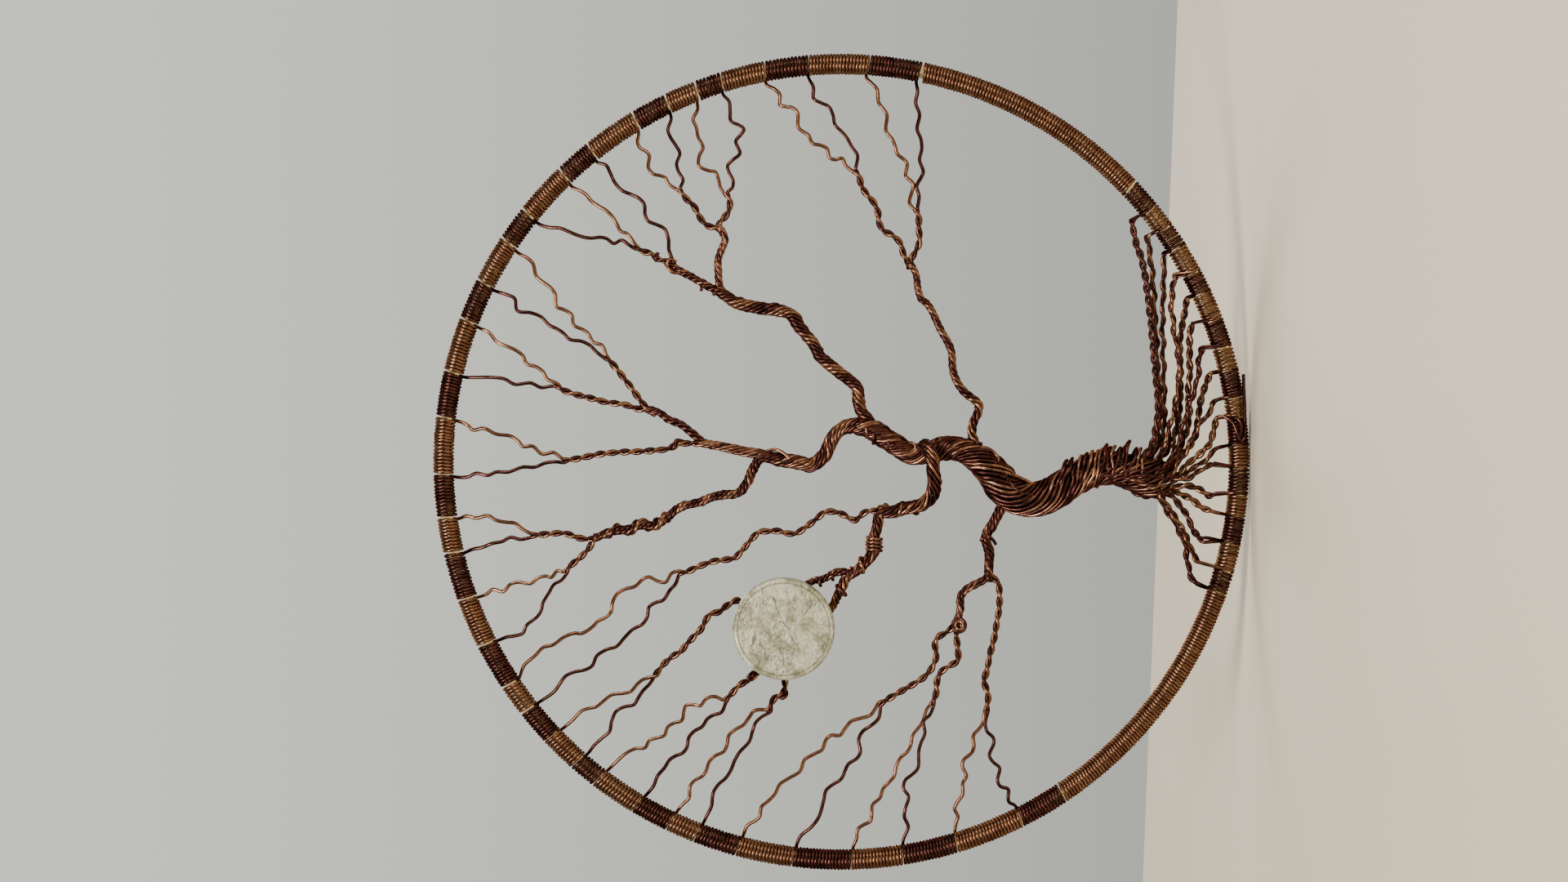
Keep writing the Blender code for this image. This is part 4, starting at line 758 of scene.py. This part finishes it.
STEMS = {
    "twigs_01_02": ((-27, 63.8), (-28.5, 62.7), (-29.5, 61.6), (-32, 61.2), (-36, 61.3), (-39, 61.8),
                    (-43, 62.5), (-47, 63.5), (-51, 64.3), (-54, 65), (-57, 64), (-59.5, 64.2), (-61, 64.4)),
    "twigs_03_04": ((-38, 71), (-40.5, 71.5), (-42.5, 71.8), (-45, 71.5), (-48.8, 71.5), (-50, 73.5),
                    (-51.5, 75.5), (-53.5, 76.5), (-56.5, 76.7), (-59.7, 77.8)),
    "twigs_05_06": ((-38, 71.4), (-40, 72.4), (-41.5, 73.8), (-43, 76.3), (-44.5, 77), (-47.5, 76.7),
                    (-50.5, 77.8), (-52.5, 79.5), (-54.3, 82), (-56, 85), (-57.5, 87.5), (-59.3, 90.5)),
    "twigs_07_08": ((-52.3, 113.7, 2.85), (-54.4, 113.8, 2), (-56, 114, 1), (-57, 114.5, 0.4), (-57.6, 116),
                    (-59, 117), (-61, 117.6)),
    "twigs_09_10": ((-51, 119.5, 2.85), (-52.6, 121.2, 1.8), (-53.6, 123, 0.7), (-54.8, 125, 0.2), (-57, 127),
                    (-58.6, 128.5)),
    "twigs_11_12": ((-34.7, 123.9, 2.85), (-34, 125.6, 1.8), (-35.3, 128, 0.6), (-36.8, 130, 0.1),
                    (-37.2, 131.8), (-38.5, 133), (-40.5, 134), (-42.5, 135.7), (-44.5, 137.7),
                    (-46.5, 139.3), (-47.5, 141), (-49.3, 143.3)),
    "twigs_13_14": ((-12.2, 88.5), (-12.1, 91), (-12, 92.5), (-12.3, 94), (-13.5, 95.5), (-14.3, 96.5),
                    (-13.8, 98), (-12.7, 100), (-12.2, 102), (-12.3, 104), (-13.5, 105.5), (-15.5, 108),
                    (-17.5, 111), (-17.5, 113.5), (-17, 115), (-17, 118), (-17.2, 120), (-19, 122),
                    (-22, 124.5), (-23.5, 126), (-24, 128.5), (-24.3, 131), (-25.5, 134.5), (-27, 138),
                    (-27.2, 139.7)),
    "twigs_15_16": ((-17.8, 158), (-19.3, 160.5), (-21.5, 162), (-24, 164.5), (-25.5, 166.3), (-27.2, 167.6)),
    "twigs_17_18": ((-18, 158), (-18.9, 161), (-18.7, 164), (-17.5, 168), (-17.7, 172), (-18, 175.8)),
    "twigs_19_20": ((4.3, 131.5), (4.5, 135), (4.5, 138), (4.3, 140), (3.3, 142), (2.8, 146), (2.5, 150),
                    (2.3, 155), (2, 158), (1.5, 161), (0.8, 164.5), (0.3, 168)),
    "twigs_21_22": ((11.8, 145), (12.6, 147.5), (13, 150), (14, 153), (14.5, 157), (15.5, 161), (16.5, 165),
                    (17.5, 168), (18.8, 169.8)),
    "twigs_23_24": ((11.5, 145.4), (13.2, 147.6), (15.5, 149.5), (18.5, 151.7), (21.5, 154), (24, 156),
                    (25.8, 157.8)),
    "twigs_25_26": ((47.5, 140.3), (48.9, 142.5), (49.7, 145), (51, 146.5), (51.5, 148.5), (52.7, 150.5)),
    "twig_27": ((45.8, 138.8), (47.5, 140.3), (49.2, 141.2)),
    "twigs_28_29": ((54.8, 128.4), (56.7, 129.4), (57.2, 130.8), (58, 133), (60, 134.7), (62.5, 136),
                    (64.5, 138), (66.8, 139.7)),
    "twigs_30_31": ((55.5, 129), (57.5, 130), (58.7, 129.7), (59.7, 128.7), (61.5, 127.5), (64, 127.3),
                    (65.8, 128.2)),
    "twigs_32_33": ((46.8, 82.2), (49, 83.7), (51, 84.8), (53.5, 85.5), (55.5, 87.5), (56.5, 89.5),
                    (58.5, 90.7), (61, 91), (63.5, 92), (65.5, 93.8), (67.5, 95), (70, 95.7), (71.3, 96.8)),
    "twigs_34_35": ((47.2, 83.2), (49.5, 82.9), (51.5, 81.8), (54, 80.8), (57, 81), (60, 81), (62, 81.7)),
}
# Binding turns and cut ends on the stems.
EXTRAS = {
    "twigs_07_08": [bit((-56.4, 113.4, 1.6), (-57.3, 113.5, 0.2), (-57.9, 114.4, -0.2), (-57.4, 115.4, 0.8))],
    "twigs_09_10": [
        bit((-51, 120.6, 1.2), (-51.9, 121.4, -0.3), (-53, 121.9, 0.2), (-53.4, 122, 1.6), (-52.4, 121, 2.6)),
        bit((-51.6, 121.6, 1.4), (-52.5, 122.6, 0), (-53.6, 123, 0.3), (-54, 122.8, 1.4)),
    ],
    "twigs_19_20": [bit((3.2, 142.2, 0.6), (3.6, 140.9, -0.8), (5.2, 140.4, -0.6), (5, 138.6, 0.6))],
    "twigs_25_26": [bit((51.2, 144.8, -0.8), (50, 145.2, -0.9), (49.1, 145.4, -0.4))],
}
PAIR_R = 0.43
PAIR_LEAN = 24
COIL_PITCH = 0.81
GAPS_FROM, GAPS_TO = 138, 252
BEND_FROM = 85
SWAY, SWAY_RATE = 0.7, 0.21
FORK_CLEAR = 1.3
# A coil fills the hoop from its own twig back to the coil before it, less a gap that shows the rod and
# is wider near the top.
starts = [FIRST_COIL]
starts += [angle + (2.6 if GAPS_FROM < angle < GAPS_TO else 2) * HALF_WIRE for angle in TWIG_ANGLES]
draws = random.Random(61)
for name, stem in STEMS.items():
    numbers = [int(n) for n in name.split("_")[1:]]
    inwards = flat(stem)[::-1]
    fork = inwards[0]
    side = (inwards[1] - fork).cross(Vector((0, 1, 0)))
    sides = [(Vector((TWIGS[n][-3][0], 0, TWIGS[n][-3][1])) - fork).dot(side) for n in numbers]
    wires = []
    for number, lean_to in zip(numbers, sides):
        if len(numbers) == 1:
            strand = inwards
        else:
            phase = math.pi / 2 if lean_to == max(sides) else -math.pi / 2
            strand = spun(inwards, (PAIR_R, PAIR_R), phase, PAIR_LEAN, draws, 0.12)
        twig = []
        for x, z in TWIGS[number]:
            inset = min(max((math.hypot(x, z - HOOP_Z) - BEND_FROM) / (HOOP_R - BEND_FROM), 0), 1)
            wave = SWAY * noise.noise(Vector((x, z, number)) * SWAY_RATE)
            twig.append(Vector((x, TURN_R * inset * inset * (3 - 2 * inset) + wave * (1 - inset), z)))
        twig = [p for p in twig if (p - fork).length > FORK_CLEAR]
        ashore = TWIG_ANGLES[number - 1] + HALF_WIRE
        coil = wound(ashore, starts[number - 1], BACK, COIL_PITCH, draws)
        bridge = smooth([strand[1], strand[0]] + twig[::-1] + coil[:2])
        wires.append((strand[:1:-1] + bridge + coil[2:], DARK_WIRE if number % 2 else LIGHT_WIRE))
    wires += [(extra, DARK_WIRE) for extra in EXTRAS.get(name, ())]
    piece(name, wires, width=0.82, free=1.12)


# Roots: seventeen twisted pairs that fan out of the trunk's foot, some in front of the others, and
# land on the hoop. One wire of each pair is wound on as a short coil, dark and bright in turn.
ROOTS = (
    ((-6, 23.4, 0.5), (-10, 21.4, 0.5), (-13, 19.4, 0.5), (-20, 15.7, 0.45), (-25, 15, 0.45),
     (-28.5, 14, 0.4), (-30.3, 12.3, 0.2)),
    ((-6, 22.8, -0.6), (-10, 20.9, -0.6), (-13, 18.8, -0.6), (-20, 15, -0.6), (-23, 13.8, -0.6),
     (-25.2, 11.8, -0.3)),
    ((-7.8, 20.4, 0), (-10.3, 17.3, 0), (-12.6, 15.7, 0.1), (-17, 13.5, 0.1), (-19, 12.2, 0.1),
     (-18.9, 9.8, 0)),
    ((-6.6, 20.5, 0.7), (-7.7, 17, 0.6), (-8.6, 15, 0.5), (-11.5, 10.8, 0.3), (-12.3, 8.6, 0)),
    ((-6.3, 20.5, -0.4), (-5.9, 15, -0.4), (-6.3, 13, -0.3), (-8.4, 9.6, -0.1), (-7.4, 7.6, 0)),
    ((-4.3, 20.5, -0.8), (-4, 16, -0.8), (-2.7, 13, -0.8), (-0.9, 10.5, -0.5), (-0.4, 8, -0.2)),
    ((-3.6, 20.5, 0.8), (-2.6, 15.5, 0.8), (-1, 12.5, 0.8), (2, 9, 0.4), (4, 7.4, 0)),
    ((-1.2, 16, -0.2), (1.2, 13.2, -0.2), (4, 10, 0), (7.4, 8.8, 0), (11.6, 8, 0)),
    ((0.7, 17.2, -1.15), (5, 14.6, -1.1), (8, 13.4, -1), (11, 11, -0.9), (13.8, 9.2, -0.6),
     (15.8, 8.1, -0.2)),
    ((1.2, 16.6, 0.9), (5, 13.6, 0.8), (10, 12.4, 0.7), (14, 12, 0.5), (20, 10.2, 0.1),
     (22.4, 9.2, 0)),
    ((3, 18.4, -1.1), (10, 16.4, -1.1), (15, 14.7, -1.1), (20, 13.2, -1.1), (25, 12.6, -0.8),
     (28.7, 11.5, -0.4)),
    ((3.4, 17, 0), (8, 15.3, 0), (12, 14.8, 0), (17, 15, 0), (22, 14.6, 0), (32, 14.5, 0), (34.8, 13.5, 0)),
    ((4, 19, 1.1), (9, 17.4, 1.1), (15, 16.6, 1.1), (30, 16.6, 1), (37, 15.6, 0.6), (40.8, 15.2, 0)),
    ((4, 20.6, 0), (8, 19.7, 0), (15, 18.1, -0.4), (24, 17.4, -0.6), (32, 18.7, -0.8), (40, 19.4, -0.8),
     (46.4, 17.9, -0.2)),
    ((4, 21.8, 1.1), (8, 20.7, 1.1), (20, 20.6, 1.1), (35, 21, 0.9), (46, 20.8, 0.6), (52, 20.8, 0.1)),
    ((4, 23.2, 0), (12, 21.9, 0), (24, 22.6, 0), (36, 23.2, 0), (48, 24, 0), (56.2, 25.2, 0)),
    ((4, 24.4, -1.1), (12, 22.8, -1.1), (24, 23.6, -1.1), (36, 24.7, -1.1), (48, 26.4, -1),
     (55, 28.4, -0.6), (60.2, 28.6, -0.1)),
)
# A root's places are x, z and a lane, and lanes lie LANE apart from front to back. A root whose last
# stretch is in a back lane lands on the hoop's back, and any other on its front. The first seven come
# down out of the trunk, and the others sweep out of its right side. A coil's last turn is a shorter
# part of a turn where the next root lands on the other side.
LANE = 2.17
UNDER_TRUNK = 7
ROOT_LEAN = 28
SAME_SIDE, OTHER_SIDE = 0.75, 0.25
TUCK = 0.015
SIDES = [BACK if root[-2][2] > 0 else FRONT for root in ROOTS]
# One wire end strays along the foot, with a short piece crossing it.
LOOSE_END = [bit((11.3, 6.8, -2.3), (9.6, 4.7, -3.2), (6.8, 3.5, -3.2), (5, 2.5, -2.9), (6.4, 1.5, -2.6),
                 (9.5, 1.7, -2.8), (13, 1.7, -2.9), (17.5, 1.9, -2.7), (21.4, 1.9, -2.2)),
             bit((5.6, 4.2, -2.9), (7.4, 2.7, -3.5), (9.6, 2.8, -3.4), (11, 3.8, -3))]
draws = random.Random(71)
for number, root in enumerate(ROOTS, start=1):
    x, z, lane = root[0]
    if number <= UNDER_TRUNK:
        route = [(x * 0.5 - 0.5, 33, lane * 3), (x * 0.75 - 1.2, 28.5, lane * 3.6), (x - 0.8, 24.5, lane * 3)]
    else:
        front = -1.8 if lane == 0 else lane * 3
        route = [(-3.4, z + 13, front * 1.1), (x - 6.6, z + 8, front * 1.2), (x - 5.4, z + 4.4, front * 1.1),
                 (x - 2.4, z + 1.7, lane * 2.6)]
    route += [(x, z, lane * LANE) for x, z, lane in root]
    over, following = SIDES[number - 1], SIDES[min(number, len(SIDES) - 1)]
    land, far = ROOT_ANGLES[number - 1] - 0.8 * HALF_WIRE, ROOT_ANGLES[number]
    coil = wound(land, far, over, COIL_PITCH, draws, SAME_SIDE if following == over else OTHER_SIDE)
    tone = DARK_WIRE if number % 2 else LIGHT_WIRE
    turn = draws.uniform(0, math.pi)
    wires = []
    for half in range(2):
        phase = turn + half * math.pi
        strand = spun(flat(route), (PAIR_R + 0.07, PAIR_R + 0.05), phase, ROOT_LEAN, draws, 0.2)
        if half == 0:
            wires.append((smooth(strand[:-3:6] + strand[-3:-2] + coil[:2]) + coil[2:], tone))
        else:
            ashore = coil[0].lerp(Vector((0, 0, HOOP_Z)), TUCK)
            partner = draws.choice((DARK_WIRE, AGED_WIRE, DARK_WIRE, LIGHT_WIRE))
            wires.append((strand[:-2] + [ashore], partner))
    if number == 8:
        wires += [(extra, DARK_WIRE) for extra in LOOSE_END]
    piece(f"root_{number:02d}", wires, width=0.82, sides=6, free=1.16)


# Setting: a pale shelf whose slanting edge passes behind the hoop, pale grey beyond it, and soft
# studio light from above, in front and behind.
SHELF = ((-0.9, -1.2), (0.9, -1.2), (0.9, -0.09), (-0.9, 0.377))
shelf = bpy.data.materials.new("pale shelf")
shelf.use_nodes = True
shelf.node_tree.nodes["Principled BSDF"].inputs["Base Color"].default_value = (0.67, 0.58, 0.43, 1)
shelf.node_tree.nodes["Principled BSDF"].inputs["Roughness"].default_value = 0.6
work = bmesh.new()
for x, y in SHELF:
    work.verts.new((x, y, 0))
work.faces.new(work.verts)
floor_mesh = bpy.data.meshes.new("shelf")
work.to_mesh(floor_mesh)
work.free()
floor_mesh.materials.append(shelf)
floor = bpy.data.objects.new("shelf", floor_mesh)
bpy.context.collection.objects.link(floor)

# The room is pale behind the tree, a little paler higher up, and dark in front of it, which keeps the
# copper deep.
world = bpy.data.worlds.new("pale grey room")
world.use_nodes = True
nodes = world.node_tree.nodes
link = world.node_tree.links.new
where = nodes.new("ShaderNodeTexCoord")
apart = nodes.new("ShaderNodeSeparateXYZ")
link(where.outputs["Generated"], apart.inputs["Vector"])
depths = nodes.new("ShaderNodeValToRGB")
depths.color_ramp.elements[0].position = 0.42
depths.color_ramp.elements[0].color = (0.11, 0.107, 0.103, 1)
depths.color_ramp.elements[1].position = 0.62
depths.color_ramp.elements[1].color = (0.70, 0.70, 0.645, 1)
halved = nodes.new("ShaderNodeMapRange")
halved.inputs["From Min"].default_value = -1.0
link(apart.outputs["Y"], halved.inputs["Value"])
link(halved.outputs["Result"], depths.inputs["Fac"])
link(depths.outputs["Color"], nodes["Background"].inputs["Color"])
upwards = nodes.new("ShaderNodeMapRange")
upwards.inputs["From Min"].default_value = -0.15
upwards.inputs["From Max"].default_value = 0.28
upwards.inputs["To Min"].default_value = 0.74
upwards.inputs["To Max"].default_value = 1.26
link(apart.outputs["Z"], upwards.inputs["Value"])
link(upwards.outputs["Result"], nodes["Background"].inputs["Strength"])
bpy.context.scene.world = world


def lamp(name, place, energy, size, colour):
    """A round soft lamp aimed at the middle of the hoop."""
    light = bpy.data.lights.new(name, "AREA")
    light.energy = energy
    light.shape = "DISK"
    light.size = size
    light.color = colour
    made = bpy.data.objects.new(name, light)
    made.location = place
    made.rotation_euler = (Vector((0, 0, 0.1)) - Vector(place)).to_track_quat("-Z", "Y").to_euler()
    bpy.context.collection.objects.link(made)


lamp("key", (-0.35, -0.75, 0.85), 13.0, 0.42, (1.0, 0.96, 0.90))
lamp("fill", (0.75, -0.7, 0.45), 5.5, 0.32, (1.0, 0.94, 0.86))
lamp("back", (0.2, 0.9, 0.7), 5.0, 0.5, (1.0, 0.98, 0.95))

# The camera stands straight in front of the hoop, rolled a quarter turn so that the crown is to the left.
lens = bpy.data.cameras.new("camera")
lens.lens = 56.25
lens.sensor_width = 36
lens.clip_start = 0.01
camera = bpy.data.objects.new("camera", lens)
camera.matrix_world = Matrix(((0, 1, 0, 0.0051), (0, 0, -1, -0.6), (-1, 0, 0, 0.114), (0, 0, 0, 1)))
bpy.context.collection.objects.link(camera)
bpy.context.scene.camera = camera

bpy.context.view_layer.update()
